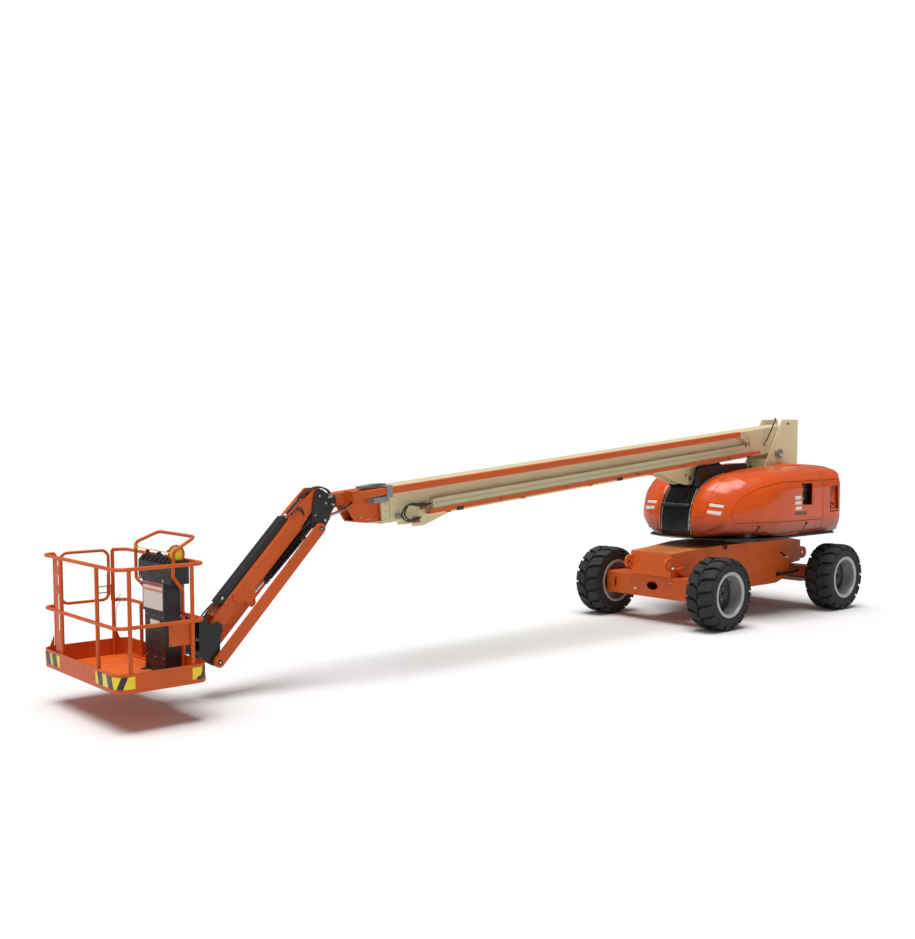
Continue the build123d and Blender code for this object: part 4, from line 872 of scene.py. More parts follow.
def hood_details():
    for s, tag in ((-1, "right"), (1, "left")):
        k = Kit()
        if s < 0:
            sets = [([(-1.055, .545, 1.779), (-0.966, .713, 1.754), (-0.981, .716, 1.706), (-1.074, .549, 1.726)], "label", "label_red"),
                    ([(-1.093, .540, 1.681), (-0.993, .714, 1.660), (-1.020, .694, 1.601), (-1.107, .540, 1.629)], "label", "label_amber")]
        else:
            sets = [([(-1.125, .390, 1.780), (-1.000, .660, 1.771), (-1.010, .660, 1.722), (-1.140, .395, 1.730)], "label", "label_red"),
                    ([(-1.145, .415, 1.696), (-0.990, .700, 1.687), (-1.000, .700, 1.632), (-1.150, .425, 1.650)], "label", "label_amber")]
        for quad, base, band in sets:
            quad = [Vector(mirror(q, s)) for q in quad]
            skin_patch(k, quad, base)
            head = [quad[0], quad[1], quad[1].lerp(quad[2], 0.20), quad[0].lerp(quad[3], 0.20)]
            skin_patch(k, head, band, off=0.0022)
        # sunk front band: its border line in painted shade, and the trim along the inner edge
        line = smooth_path([mirror(q, s) for q in [(-1.135, .470, 1.557), (-1.130, .500, 1.575), (-1.095, .525, 1.750), (-0.985, .525, 1.945),
                                                   (-0.835, .545, 2.080), (-0.655, .515, 2.168)]], 6)
        skin_ribbon(k, line, 0.0075, "shade_orange")
        skin_ribbon(k, [mirror((-1.20, 0.296 + 0.030 * i, 1.557), s) for i in range(7)], 0.0055, "shade_orange")
        zs = np.linspace(1.245, 2.19, 25)
        lo, hi = np.full(25, -1.6), np.full(25, 0.4)
        for _ in range(28):
            mid = (lo + hi) / 2
            f = hood_field(mid, np.full(25, 0.300), zs)
            lo, hi = np.where(f < 0, lo, mid), np.where(f < 0, mid, hi)
        edge = [at(float(a) + 0.004, s * 0.279, float(z)) for a, z in zip(lo, zs)]
        k.tube(edge, 0.0045, "silver_trim", 8)
        # small latch studs in the darker orange, and a long slot in the lower band: a raised strip with a painted shade
        # border
        for q in ((-0.86, .82, 1.42), (-0.60, .965, 1.40), (-1.10, .56, 1.35), (0.80, 1.10, 1.40)):
            k.lathe([(0.011, -0.004), (0.011, 0.004), (0.007, 0.006)], on_skin(mirror(q, s)), (-0.3, s, 0), "shade_orange", 12)
        skin_patch(k, [mirror(q, s) for q in [(-0.42, .99, 1.330), (0.46, 1.08, 1.338), (0.43, 1.05, 1.270), (-0.36, .96, 1.262)]], "shade_orange",
                   nu=10, nv=2, off=0.0012)
        skin_patch(k, [mirror(q, s) for q in [(-0.40, .99, 1.322), (0.44, 1.08, 1.330), (0.43, 1.07, 1.308), (-0.385, .98, 1.300)]],
                   "hood_plastic", nu=10, nv=1, off=0.0024)
        # black pull straps under the door
        for a, m, b in (((-0.505, .97, 1.438), (-0.485, .92, 1.35), (-0.462, .87, 1.262)), ((0.535, 1.12, 1.442), (0.50, 1.08, 1.35), (0.462, 1.03, 1.255))):
            skin_ribbon(k, smooth_path([mirror(a, s), mirror(m, s), mirror(b, s)], 5), 0.026, "black_plastic", off=0.004)
            k.lathe([(0.020, -0.004), (0.020, 0.010), (0.012, 0.014)], on_skin(mirror(a, s)), (0, s, 0), "black_plastic", 16)
            k.lathe([(0.016, -0.004), (0.016, 0.010), (0.010, 0.014)], on_skin(mirror(b, s)), (0, s, -0.4), "black_plastic", 16)
        k.make("hood_trim_" + tag, "turntable", 0.0, angle=40)

        # door: labels by the window, blank bar, and a hinge line in painted shade
        d = Kit()
        for x0, x1, z0, z1 in ((0.192, 0.352, 1.798, 1.866), (0.200, 0.360, 1.722, 1.784), (0.208, 0.372, 1.640, 1.700)):
            quad = [(x0, s * 1.15, z1), (x1, s * 1.15, z1), (x1, s * 1.15, z0), (x0, s * 1.15, z0)]
            skin_patch(d, quad, "label", off=0.0018)
            quad = [(x0, s * 1.15, z1), (x1, s * 1.15, z1), (x1, s * 1.15, z1 - 0.013), (x0, s * 1.15, z1 - 0.013)]
            skin_patch(d, quad, "label_amber" if z1 < 1.85 else "label_red", off=0.0024)
        skin_patch(d, [(0.195, s * 1.15, 1.615), (0.520, s * 1.15, 1.612), (0.520, s * 1.15, 1.560), (0.195, s * 1.15, 1.562)], "brown_bar", off=0.0018)
        # faint sunk panel behind the window, its edge a painted shade line, and its lower ledge
        skin_ribbon(d, [(0.700, s * 1.15, 2.030), (0.700, s * 1.15, 1.86), (0.700, s * 1.15, 1.695)], 0.005, "shade_orange")
        skin_ribbon(d, [(0.405, s * 1.15, 1.696), (0.55, s * 1.15, 1.690), (0.700, s * 1.15, 1.690)], 0.006, "hood_plastic", off=0.003)
        skin_ribbon(d, [(-0.10, s * 1.15, 1.50 + 0.11 * i) for i in range(5)], 0.003, "shade_orange", off=0.0006)
        for q in ((0.62, 1.15, 1.50), (-0.62, .98, 1.50)):
            d.lathe([(0.012, -0.004), (0.012, 0.004), (0.008, 0.006)], on_skin(mirror(q, s)), (0, s, 0), "shade_orange", 12)
        d.make("door_trim_" + tag, "door_" + tag, 0.0, angle=40)

        # tail: plate in the rear recess with its hook, and a painted shade triangle in the recess
        t = Kit()
        y = 1.092
        place = lambda a, b, h: at(a, s * (y - h), b)
        t.prism([(1.185, 1.580), (1.450, 1.580), (1.420, 1.968), (1.175, 1.968)], place, 0.010, "hood_plastic")
        t.prism([(1.200, 1.955), (1.408, 1.955), (1.245, 1.700)], lambda a, b, h: at(a, s * (y + 0.0035 - h), b), 0.004, "shade_orange")
        t.prism([(1.190, 1.582), (1.446, 1.582), (1.444, 1.612), (1.190, 1.612)], lambda a, b, h: at(a, s * (y + 0.035 - h), b), 0.040, "hood_plastic")
        t.rod(at(1.225, s * (y - 0.004), 1.700), at(1.225, s * (y + 0.030), 1.700), 0.030, "black_plastic")
        t.tube(smooth_path([at(1.225, s * (y + 0.026), 1.715), at(1.275, s * (y + 0.032), 1.706), at(1.315, s * (y + 0.030), 1.680)], 4), 0.013,
               "black_plastic", 10)
        t.tube(smooth_path([at(1.225, s * (y + 0.026), 1.700), at(1.222, s * (y + 0.032), 1.660), at(1.235, s * (y + 0.030), 1.625)], 4), 0.016,
               "black_plastic", 10)
        t.make("tail_trim_" + tag, "turntable", 0.002)
    # amber lamp at the lower rear corner of the right side
    l = Kit()
    for s in (1, -1):
        l.lathe([(0.0, 0), (0.020, 0.001), (0.024, 0.008), (0.018, 0.020), (0.0, 0.026)], on_skin((1.62, s * 0.98, 1.52)), (0.8, s * 0.6, 0), "amber", 20)
    l.make("rear_lamps", "turntable")


hood_details()

# ---------------------------------------------------------------- between the hoods
refine("front_panel", 0.004, 2, 32, "gloss_black")
refine("centre_cowls", 0.030, 4, 32, "gloss_black")
k = Kit()
k.box(at(-1.205, -0.250, 1.700), at(-1.150, 0.250, 1.742), "gloss_black")
k.box(at(-1.207, -0.250, 1.7425), at(-1.150, 0.250, 1.7455), "silver_trim")
for y0, z0, z1 in ((-0.06, 1.50, 1.46), (-0.02, 1.44, 1.40), (0.02, 1.38, 1.34)):
    for dy in (0.0, 0.085):
        a = (y0 + dy + 0.10, z0 + 0.01)
        pts = [at(-1.207, a[0], a[1]), at(-1.209, a[0] - 0.03, a[1] + 0.016), at(-1.209, a[0] - 0.10, z1 + 0.03), at(-1.207, a[0] - 0.13, z1 + 0.012)]
        k.tube(smooth_path(pts, 4), 0.0055, "black_paint", 8)
for i in range(7):
    z = 1.345 + 0.024 * i
    k.box(at(-1.2045, -0.17, z), at(-1.1990, 0.17, z + 0.009), "black_plastic")
for s in (1, -1):
    k.tube([at(-1.196, s * 0.250, 1.34), at(-1.204, s * 0.250, 1.50), at(-1.166, s * 0.250, 1.69), at(-1.094, s * 0.250, 1.84), at(-0.99, s * 0.250, 1.985)],
           0.005, "silver_trim", 8)
# brace from the crossbar up to the lug, and the sill under the panel
k.tube([at(-1.10, -0.09, 1.84), at(-1.00, -0.02, 1.97)], 0.010, "black_paint", 10)
k.tube([at(-1.15, -0.20, 1.745), at(-1.03, -0.07, 1.93)], 0.008, "black_paint", 10)
k.box(at(-1.160, -0.274, 1.222), at(-1.120, 0.274, 1.236), "silver_trim")
k.box(at(-1.175, -0.268, 1.236), at(-1.128, 0.268, 1.262), "black_plastic")
k.make("panel_trim", "turntable", 0.0015)

# rolls on the cowls, beside the dark cover between them, under the boom
k = Kit()
for s in (1, -1):
    k.rod(at(-0.90, s * 0.238, 2.275), at(0.22, s * 0.238, 2.303), 0.026, "gloss_black", 20)
k.make("cowl_rolls", "turntable")

# controls seen through the window
k = Kit()
for s in (-1,):
    for a, b in (((0.46, 1.88), (0.49, 1.93)), ((0.53, 1.90), (0.55, 1.955)), ((0.44, 1.82), (0.47, 1.80)), ((0.52, 1.76), (0.575, 1.80))):
        k.rod(at(a[0], s * 1.046, a[1]), at(b[0], s * 1.056, b[1]), 0.010, "yellow", 10)
    k.rod(at(0.60, s * 1.040, 1.93), at(0.60, s * 1.060, 1.93), 0.022, "label_red", 20)
    for i in range(3):
        k.rod(at(0.45 + 0.06 * i, s * 1.040, 1.985), at(0.45 + 0.06 * i, s * 1.052, 1.985), 0.012, "silver_trim", 14)
    k.box(at(0.40, s * 1.044, 1.66), at(0.68, s * 1.040, 2.02), "tank_plastic")
k.make("ground_control_knobs", "turntable", 0.001)

# ---------------------------------------------------------------- uprights
k = Kit()
for s in (1, -1):
    c = at(PIVOT[0], s * 0.2138, PIVOT[1])
    k.lathe([(0.078, 0), (0.078, 0.022), (0.066, 0.028)], c, (0, s, 0), "grey_paint", 8, smooth=False)
    k.lathe([(0.052, 0.026), (0.052, 0.036), (0.040, 0.040)], c, (0, s, 0), "steel", 24)
    k.box(at(PIVOT[0] - 0.115, s * 0.2145 - 0.0005, PIVOT[1] - 0.045), at(PIVOT[0] - 0.060, s * 0.2145 + s * 0.012, PIVOT[1] + 0.040), "grey_paint")
    k.bolt(at(PIVOT[0] - 0.095, s * 0.2265, PIVOT[1]), (0, s, 0), 0.012)
    k.lathe([(0.030, 0), (0.030, 0.006), (0.024, 0.010)], at(1.430, s * 0.2138, 2.944), (0, s, 0), "steel", 24)
    k.lathe([(0.012, 0.008), (0.012, 0.016)], at(1.430, s * 0.2138, 2.944), (0, s, 0), "black_paint", 16)
    for x, z in ((0.62, 1.66), (0.70, 1.50), (1.42, 1.95), (1.42, 1.60)):
        k.bolt(at(x, s * 0.2005, z), (0, s, 0), 0.014, "tan_paint")
k.make("upright_pins", "turntable", 0.0015)

for i, dy in enumerate((0.0, 0.022)):
    path = [at(0.800 - i * 0.03, -0.186 - dy, 2.600), at(0.870 - i * 0.028, -0.214 - dy * 0.6, 2.720), at(0.985 - i * 0.026, -0.222 - dy * 0.5, 2.900),
            at(1.060 - i * 0.024, -0.222 - dy * 0.5, 3.000), at(1.120 - i * 0.02, -0.190, 3.028), at(1.180, -0.120 - dy, 3.020)]
    k = Kit()
    k.tube(smooth_path(path, 8), 0.0085, "hose", 10)
    ob = k.mesh("tail_hose_%d" % i)
    dress(ob, None)
    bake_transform(ob)

# ---------------------------------------------------------------- boom details
NEAR = -1                       # the hose track runs on the right of the boom


def side_box(k, u0, u1, v0, v1, y0, y1, mat):
    """A box along the boom, between two distances from its middle plane."""
    k.prism([(u0, v0), (u1, v0), (u1, v1), (u0, v1)], lambda a, b, h: uv(a, b, y0 + h), y1 - y0, mat)


refine("power_track", 0.004, 2, 32, "track_plastic")
k = Kit()
u = 1.030
while u < 7.400:
    for v0 in (0.178, 0.118):
        side_box(k, u, u + 0.017, v0, v0 + 0.008, -0.2532, -0.2518, "mark")
        side_box(k, u + 0.013, u + 0.019, v0 - 0.010, v0 + 0.006, -0.2532, -0.2518, "mark")
    side_box(k, u + 0.0285, u + 0.0305, 0.070, 0.228, -0.2526, -0.2518, "mark")
    u += 0.049
for i in range(11):
    w = math.radians(95 + 17 * i)
    for r in (0.160, 0.118):
        side_box(k, 1.000 - 0.006 + math.cos(w) * r, 1.000 + 0.006 + math.cos(w) * r, 0.241 - 0.005 + math.sin(w) * r,
                 0.241 + 0.005 + math.sin(w) * r, -0.2532, -0.2518, "mark")
# near-black patches: painted shade in the gaps by the track's end
for u in (0.880, 0.945):
    side_box(k, u, u + 0.022, 0.215, 0.275, -0.2545, -0.2518, "dark_gap")
k.make("track_links", "boom")

k = Kit()
for u in (1.42, 2.55, 2.62, 3.60, 5.05, 5.12, 6.30):
    side_box(k, u, u + 0.030, 0.070, 0.100, -0.2660, -0.2600, "brown_red" if u not in (1.42, 3.60) else "black_plastic")
for u in (3.95, 6.95):
    side_box(k, u, u + 0.110, 0.040, 0.085, -0.2680, -0.2600, "black_plastic")
# weld seams, bolts and clips on the base section
for u in (0.60, 7.48):
    side_box(k, u, u + 0.006, 0.045, 0.430, -0.1716, -0.1695, "cream_paint")
for u in (0.20, 0.45, 7.62, 7.90):
    for v in (0.10, 0.38):
        k.bolt(uv(u, v, -0.1700), (0, -1, 0), 0.012, "cream_paint", 0.0095 if u > 1 else 0.003, u > 1)
        k.bolt(uv(u, v, 0.1700), (0, 1, 0), 0.012, "cream_paint", 0.0095 if u > 1 else 0.003, u > 1)
for u in (7.585, 7.66):
    side_box(k, u, u + 0.036, 0.345, 0.372, -0.1720, -0.1695, "cream_paint")
# near-black square: painted shade in a gap
side_box(k, 7.50, 7.53, 0.13, 0.16, -0.1720, -0.1695, "dark_gap")
# pins of the lift cylinder in the belly lugs
g = (2.272, -0.139)
for s in (1, -1):
    k.lathe([(0.030, 0), (0.030, 0.008), (0.022, 0.012)], uv(g[0], g[1], s * 0.1315), (0, s, 0), "steel", 24)
    k.box(uv(g[0] + 0.045, g[1] + 0.07, s * 0.1195 - 0.001), uv(g[0] + 0.085, g[1] + 0.035, s * 0.1195 + s * 0.010), "grey_paint")
# hose loop and its brackets at the tip
loop = [uv(7.47, 0.165, -0.215), uv(7.60, 0.170, -0.232), uv(7.78, 0.205, -0.236), uv(7.86, 0.175, -0.236), uv(7.90, 0.090, -0.232),
        uv(7.84, 0.020, -0.226), uv(7.72, 0.000, -0.215), uv(7.62, 0.020, -0.190)]
k.tube(smooth_path(loop, 8), 0.010, "hose", 10)
k.tube(smooth_path([p + Vector((0.028, -0.014, 0.014)) for p in loop], 8), 0.010, "hose", 10)
side_box(k, 7.500, 7.575, 0.120, 0.200, -0.225, -0.1695, "brown_red")
side_box(k, 7.600, 7.690, -0.030, 0.030, -0.200, -0.1495, "brown_red")
side_box(k, 7.880, 7.960, 0.060, 0.110, -0.205, -0.1695, "grey_paint")
for u, v in ((7.52, 0.18), (7.555, 0.14), (7.62, 0.01), (7.67, 0.01)):
    k.bolt(uv(u, v, -0.225 if v > 0.1 else -0.200), (0, -1, 0), 0.009)
# plate and bolts at the tail end
for v in (0.10, 0.20, 0.30, 0.38):
    k.bolt(uv(0.06, v, -0.1700), (0, -1, 0), 0.010, "cream_paint", 0.003, False)
side_box(k, 0.30, 0.345, 0.145, 0.180, -0.1730, -0.1695, "light_grey")
k.make("boom_fittings", "boom", 0.001)

# slots on the collar, drawn as near-black sheets of painted shade, and bolts
k = Kit()
for u in (8.075, 8.110):
    for v in (0.300, 0.350):
        side_box(k, u, u + 0.016, v, v + 0.030, -0.1695, -0.1672, "dark_gap")
for v in (0.07, 0.16, 0.25):
    k.bolt(uv(8.095, v, -0.1680), (0, -1, 0), 0.010, "cream_paint")
    k.bolt(uv(8.095, v, 0.1680), (0, 1, 0), 0.010, "cream_paint")
k.make("collar_fittings", "mid", 0.0008)

# fly nose: bolts and a small plate; its twin hoses are made with the jib hoses below
k = Kit()
for u, v in ((8.22, 0.40), (8.22, 0.11), (8.32, 0.40), (8.32, 0.11), (8.42, 0.14), (8.45, 0.41), (8.26, 0.30), (8.70, 0.43), (8.80, 0.43)):
    k.bolt(uv(u, v, -0.1150), (0, -1, 0), 0.011, "orange_paint" if u < 8.3 else "steel")
    k.bolt(uv(u, v, 0.1150), (0, 1, 0), 0.011, "orange_paint" if u < 8.3 else "steel")
k.prism([(8.235, 0.335), (8.300, 0.335), (8.300, 0.385), (8.235, 0.385)], lambda a, b, h: uv(a, b, -0.1180 + h), 0.0045, "brown_red")
k.make("nose_fittings", "fly", 0.0008)

# ---------------------------------------------------------------- platform details
refine("control_console", 0.014, 3, 32, "black_plastic")


def mbox(k, x0, x1, y0, y1, z0, z1, mat):
    """A box given from the slew axis."""
    k.box(at(min(x0, x1), min(y0, y1), min(z0, z1)), at(max(x0, x1), max(y0, y1), max(z0, z1)), mat)


PX0, PX1, PY, PR = -10.604, -9.641, 0.915, 0.120


def pan_line(points, inset):
    """Points on the pan's outline moved inwards; a corner name adds that corner's arc."""
    out = []
    for q in points:
        if len(q) == 2:
            out.append(q)
            continue
        cx, cy, a0, a1 = q
        for i in range(9):
            w = math.radians(a0 + (a1 - a0) * i / 8)
            out.append((cx + math.cos(w) * (PR - inset), cy + math.sin(w) * (PR - inset)))
    return out


def wall_strip(k, line, z0, z1, thick, mat):
    """A thin band that follows a line of (x, y) points; thick goes to the left of the line."""
    n = len(line)
    nrm = []
    for i in range(n):
        a, b = line[max(i - 1, 0)], line[min(i + 1, n - 1)]
        dx, dy = b[0] - a[0], b[1] - a[1]
        l = math.hypot(dx, dy)
        nrm.append((-dy / l, dx / l))
    v = []
    for (x, y), (nx, ny) in zip(line, nrm):
        v += [at(x, y, z0), at(x, y, z1), at(x + nx * thick, y + ny * thick, z1), at(x + nx * thick, y + ny * thick, z0)]
    f = [(0, 3, 2, 1), tuple(4 * (n - 1) + i for i in range(4))]
    for i in range(n - 1):
        for j in range(4):
            m = (j + 1) % 4
            f.append((4 * i + j, 4 * i + m, 4 * (i + 1) + m, 4 * (i + 1) + j))
    k.add(v, f, mat, True)


# warning tape on the pan: yellow with slanted black bands, bent round the corner
def along(line, t):
    """The point at distance t along a line of (x, y) points, and the direction to its left."""
    for a, b in zip(line, line[1:]):
        l = math.hypot(b[0] - a[0], b[1] - a[1])
        if t <= l or b == line[-1]:
            d = ((b[0] - a[0]) / l, (b[1] - a[1]) / l)
            t = min(t, l)
            return (a[0] + d[0] * t, a[1] + d[1] * t), (-d[1], d[0])
        t -= l


def slant_band(k, line, s0, s1, t0, t1, z0, z1, thick, mat, n=8):
    """A band on a wall from s0 to s1 at its foot and from t0 to t1 at its top; thick is towards the line's right."""
    v = []
    for i in range(n + 1):
        w = i / n
        (x, y), (nx, ny) = along(line, s0 + (s1 - s0) * w)
        (x2, y2), (nx2, ny2) = along(line, t0 + (t1 - t0) * w)
        v += [at(x, y, z0), at(x2, y2, z1), at(x2 - nx2 * thick, y2 - ny2 * thick, z1), at(x - nx * thick, y - ny * thick, z0)]
    f = [(0, 3, 2, 1), tuple(4 * n + i for i in range(4))]
    for i in range(n):
        for j in range(4):
            m = (j + 1) % 4
            f.append((4 * i + j, 4 * i + m, 4 * (i + 1) + m, 4 * (i + 1) + j))
    k.add(v, f, mat, True)


def tape(k, line, total, bands, z0=0.440, z1=0.556, sides=1):
    """Yellow tape with black bands, each given as foot from, foot to, top from, top to."""
    slant_band(k, line, 0.0, total, 0.0, total, z0, z1, 0.0012 * sides, "tape_yellow", 96)
    for s0, s1, t0, t1 in bands:
        slant_band(k, line, s0, s1, t0, t1, z0, z1, 0.0042 * sides, "tape_black", 48)


k = Kit()
front_near = pan_line([(PX0, -0.430), (PX0, -0.795), (PX0 + PR, -PY + PR, 180, 270), (-10.425, -PY)], 0.0)
tape(k, front_near, 0.612, [(0.080, 0.165, 0.045, 0.150), (0.290, 0.390, 0.250, 0.360), (0.430, 0.492, 0.478, 0.540)])
tape(k, [(PX0, 0.825), (PX0, 0.447)], 0.378, [(0.040, 0.150, 0.010, 0.110), (0.215, 0.325, 0.180, 0.285)])
rear_near = pan_line([(-9.828, -PY), (-9.761, -PY), (PX1 - PR, -PY + PR, 270, 315)], 0.0)
tape(k, rear_near, 0.158, [(0.040, 0.158, 0.118, 0.158)])
tape(k, pan_line([(PX1, 0.470), (PX1, 0.795)], 0.0), 0.325, [(0.03, 0.12, 0.07, 0.16), (0.20, 0.29, 0.24, 0.325)])
tape(k, [(-9.80, PY), (-10.00, PY)], 0.200, [(0.02, 0.09, 0.05, 0.12), (0.15, 0.19, 0.18, 0.20)])
k.make("pan_stripes", "platform", 0.0)

k = Kit()
xa, xb, ya = PX0 + 0.008, PX1 - 0.008, PY - 0.008
r = PR - 0.008
floor_pts = []
for cx, cy, a0 in ((xa + r, -ya + r, 180), (xb - r, -ya + r, 270), (xb - r, ya - r, 0), (xa + r, ya - r, 90)):
    for i in range(7):
        w = math.radians(a0 + 90 * i / 6)
        floor_pts.append((cx + math.cos(w) * r, cy + math.sin(w) * r))
# tread plate inside the pan
k.prism(floor_pts, lambda a, b, h: at(a, b, 0.4045 + h), 0.0035, "tread_plate")
# gussets at the feet of the gate's posts and at the far corner
for x, s in ((-9.812, 1), (-10.455, -1)):
    k.prism([(x + s * 0.018, 0.405), (x + s * 0.115, 0.405), (x + s * 0.085, 0.560), (x + s * 0.024, 0.700)],
            lambda a, b, h: at(a, 0.896 + h, b), 0.005, "orange_paint")
# brackets at the console's foot
for y in (-0.400, -0.040):
    k.prism([(-9.862, 0.408), (-9.925, 0.408), (-9.925, 0.416), (-9.872, 0.424), (-9.868, 0.480), (-9.862, 0.480)],
            lambda a, b, h: at(a, y + h, b), 0.055, "black_paint")
    k.bolt(at(-9.900, y + 0.028, 0.4155), (0, 0, 1), 0.010)
# cross angle on the floor at the back
mbox(k, -9.700, -9.655, -0.86, 0.86, 0.408, 0.424, "orange_paint")
mbox(k, -9.664, -9.655, -0.86, 0.86, 0.424, 0.452, "orange_paint")
k.make("pan_fittings", "platform", 0.0008)

# slotted plate beside the front post, plates, wires and bolts of the guard rails
k = Kit()
for y0, y1 in ((0.442, 0.486), (0.516, 0.600)):
    mbox(k, -10.579, -10.573, y0, y1, 0.55, 1.548, "orange_paint")
for z0, z1 in ((0.55, 0.812), (1.188, 1.284), (1.383, 1.475), (1.535, 1.548)):
    mbox(k, -10.579, -10.573, 0.486, 0.516, z0, z1, "orange_paint")
mbox(k, -10.573, -10.548, 0.592, 0.600, 0.55, 1.548, "orange_paint")
for i in range(9):
    z = 0.88 + 0.075 * i
    k.bolt(at(-10.579, 0.462, z), (-1, 0, 0), 0.0055, "steel", washer=False)
    k.bolt(at(-10.579, 0.560, z), (-1, 0, 0), 0.0055, "steel", washer=False)
# latch plate on the gate's post
mbox(k, -9.840, -9.796, 0.884, 0.892, 1.012, 1.184, "orange_paint")
# bolted plate's bolts
for x in (-10.030, -9.805):
    for z in (0.795, 0.985):
        k.bolt(at(x, -0.8705, z), (0, -1, 0), 0.006, "dark_gap", washer=False)
# lanyard wires at the front near corner and beside the gate
k.tube(smooth_path([at(-10.512, -0.872, 1.300), at(-10.555, -0.868, 1.250), at(-10.574, -0.862, 1.190), at(-10.578, -0.858, 1.032)], 6),
       0.0035, "steel", 8)
k.tube([at(-9.800, 0.880, 1.000), at(-9.730, 0.872, 1.070)], 0.005, "yellow", 8)
# gussets under the middle rail at the corners
for y, s in ((-0.441, 1), (0.425, 1)):
    k.prism([(y + s * 0.018, 0.600), (y + s * 0.060, 0.589), (y + s * 0.018, 0.680)], lambda a, b, h: at(-10.580 + h, a, b), 0.006, "orange_paint")
k.make("rail_fittings", "platform", 0.0008)

k = Kit()
for z in (1.100, 1.168):
    k.rod(at(-9.878, 0.888, z), at(-9.975, 0.888, z), 0.006, "orange_paint" if z < 1.15 else "steel", 10)
k.rod(at(-9.978, 0.888, 1.094), at(-9.978, 0.888, 1.174), 0.005, "steel", 10)
mbox(k, -9.885, -9.849, 0.885, 0.891, 1.080, 1.190, "orange_paint")
k.make("gate_latch", "gate", 0.0008)

# console: labels, keypad, joystick, lamp and the guard rod over it
k = Kit()
mbox(k, -9.8746, -9.8695, -0.400, 0.022, 1.050, 1.322, "label")
mbox(k, -9.8756, -9.8700, -0.397, 0.019, 1.286, 1.319, "label_red")
mbox(k, -9.8756, -9.8700, -0.397, 0.019, 1.232, 1.258, "label_amber")
mbox(k, -9.8650, -9.8615, -0.310, -0.100, 0.885, 0.938, "label")
# near-black lines: painted shade in the console's slots
for z in (0.62, 0.72, 0.80):
    mbox(k, -9.8645, -9.8615, -0.330, -0.120, z, z + 0.006, "dark_gap")
for y in (-0.38, -0.20, -0.02):
    k.bolt(at(-9.862, y, 0.560), (-1, 0, 0), 0.008, "steel", washer=False)
    k.bolt(at(-9.862, y, 0.985), (-1, 0, 0), 0.008, "steel", washer=False)
# sloped keypad and ribs on the console's head
for i in range(7):
    y = -0.560 + i * 0.094
    k.prism([(-9.872, 1.5385), (-9.844, 1.5715), (-9.839, 1.5795), (-9.700, 1.5725), (-9.700, 1.582), (-9.844, 1.590), (-9.884, 1.546)],
            lambda a, b, h: at(a, y + h, b), 0.062, "black_plastic")
for i in range(6):
    y = -0.545 + i * 0.105
    k.rod(at(-9.760, y, 1.576), at(-9.760, y, 1.600), 0.010, ("label_red", "yellow", "steel", "label", "black_plastic", "label_amber")[i], 12)
for z in (1.375, 1.420, 1.465):
    mbox(k, -9.8850, -9.8815, -0.600, 0.090, z, z + 0.010, "gloss_black")
for y in (-0.450, 0.040):
    mbox(k, -9.8850, -9.8815, y, y + 0.035, 1.345, 1.372, "light_grey")
# boots and levers
for x, y, z, hh in ((-9.780, -0.390, 1.575, 0.085), (-9.800, 0.047, 1.575, 0.060), (-9.770, -0.150, 1.575, 0.050)):
    k.lathe([(0.034, 0), (0.030, 0.010), (0.026, 0.014), (0.024, 0.022), (0.018, 0.026), (0.010, 0.036), (0.010, hh - 0.03), (0.019, hh - 0.022),
             (0.022, hh - 0.008), (0.014, hh)], at(x, y, z), (-0.12, 0, 1), "black_plastic", 20)
# yellow disc in a bent orange frame
dc = at(-9.800, -0.570, 1.636)
da = Vector((-0.80, -0.60, 0.05)).normalized()
dx = Vector((0, 0, 1)).cross(da).normalized()
dz = da.cross(dx)
k.lathe([(0.068, -0.006), (0.072, -0.003), (0.072, 0.003), (0.068, 0.006)], dc, da, "yellow", 28)
ring = [dc - dx * 0.050 - dz * 0.150 - da * 0.02] + [dc + dx * (0.082 * math.sin(w)) + dz * (0.082 * math.cos(w)) for w in
        [math.radians(-150 + 300 * i / 20) for i in range(21)]] + [dc + dx * 0.050 - dz * 0.150 - da * 0.02]
k.tube(ring, 0.009, "orange_paint", 10)
# pale guard rod, held by clips on the overhead guard
k.rod(at(-9.8705, 0.175, 1.650), at(-9.8660, -0.640, 1.650), 0.0055, "yellow", 10)
for y in (0.180, -0.636):
    k.lathe([(0.020, 0), (0.024, 0.004), (0.024, 0.020), (0.020, 0.024)], at(-9.869, y - 0.012, 1.652), (0, 1, 0), "label_amber", 16)
k.make("console_fittings", "platform", 0.001)

# ---------------------------------------------------------------- jib hoses and small parts
for i, dy in enumerate((0.0, 0.024)):
    path = [at(-8.215, -0.050 - dy, 1.895), at(-8.120, -0.054 - dy, 1.985), at(-8.040, -0.058 - dy, 2.062), at(-7.958, -0.064 - dy, 2.140),
            at(-7.862, -0.074 - dy, 2.196), at(-7.767, -0.100 - dy, 2.212 - 0.004 * i), at(-7.690, -0.132 - dy, 2.178), at(-7.640, -0.150 - dy * 0.9, 2.105)]
    hose("jib_top_hose_%d" % i, path, 0.0095, None, 8, ("jib", "level_head", at(-7.98, -0.07, 2.13), at(-7.70, -0.13, 2.18)))
k = Kit()
for i, dy in enumerate((0.0, 0.022)):
    path = [at(-8.170, -0.126 - dy * 0.4, 1.910), at(-8.132, -0.132 - dy * 0.4, 1.952), at(-8.082 + 0.008 * i, -0.134 - dy * 0.4, 1.974 + dy),
            at(-8.040 + 0.010 * i, -0.134 - dy * 0.4, 1.958 + dy * 0.8), at(-8.012 + 0.010 * i, -0.130 - dy * 0.3, 1.915 + dy * 0.4), at(-8.004 + 0.010 * i, -0.124, 1.870)]
    k.tube(smooth_path(path, 8), 0.0075, "hose", 10)
k.bolt(at(-8.300, -0.1155, 1.640), (0, -1, 0), 0.009, "orange_paint")
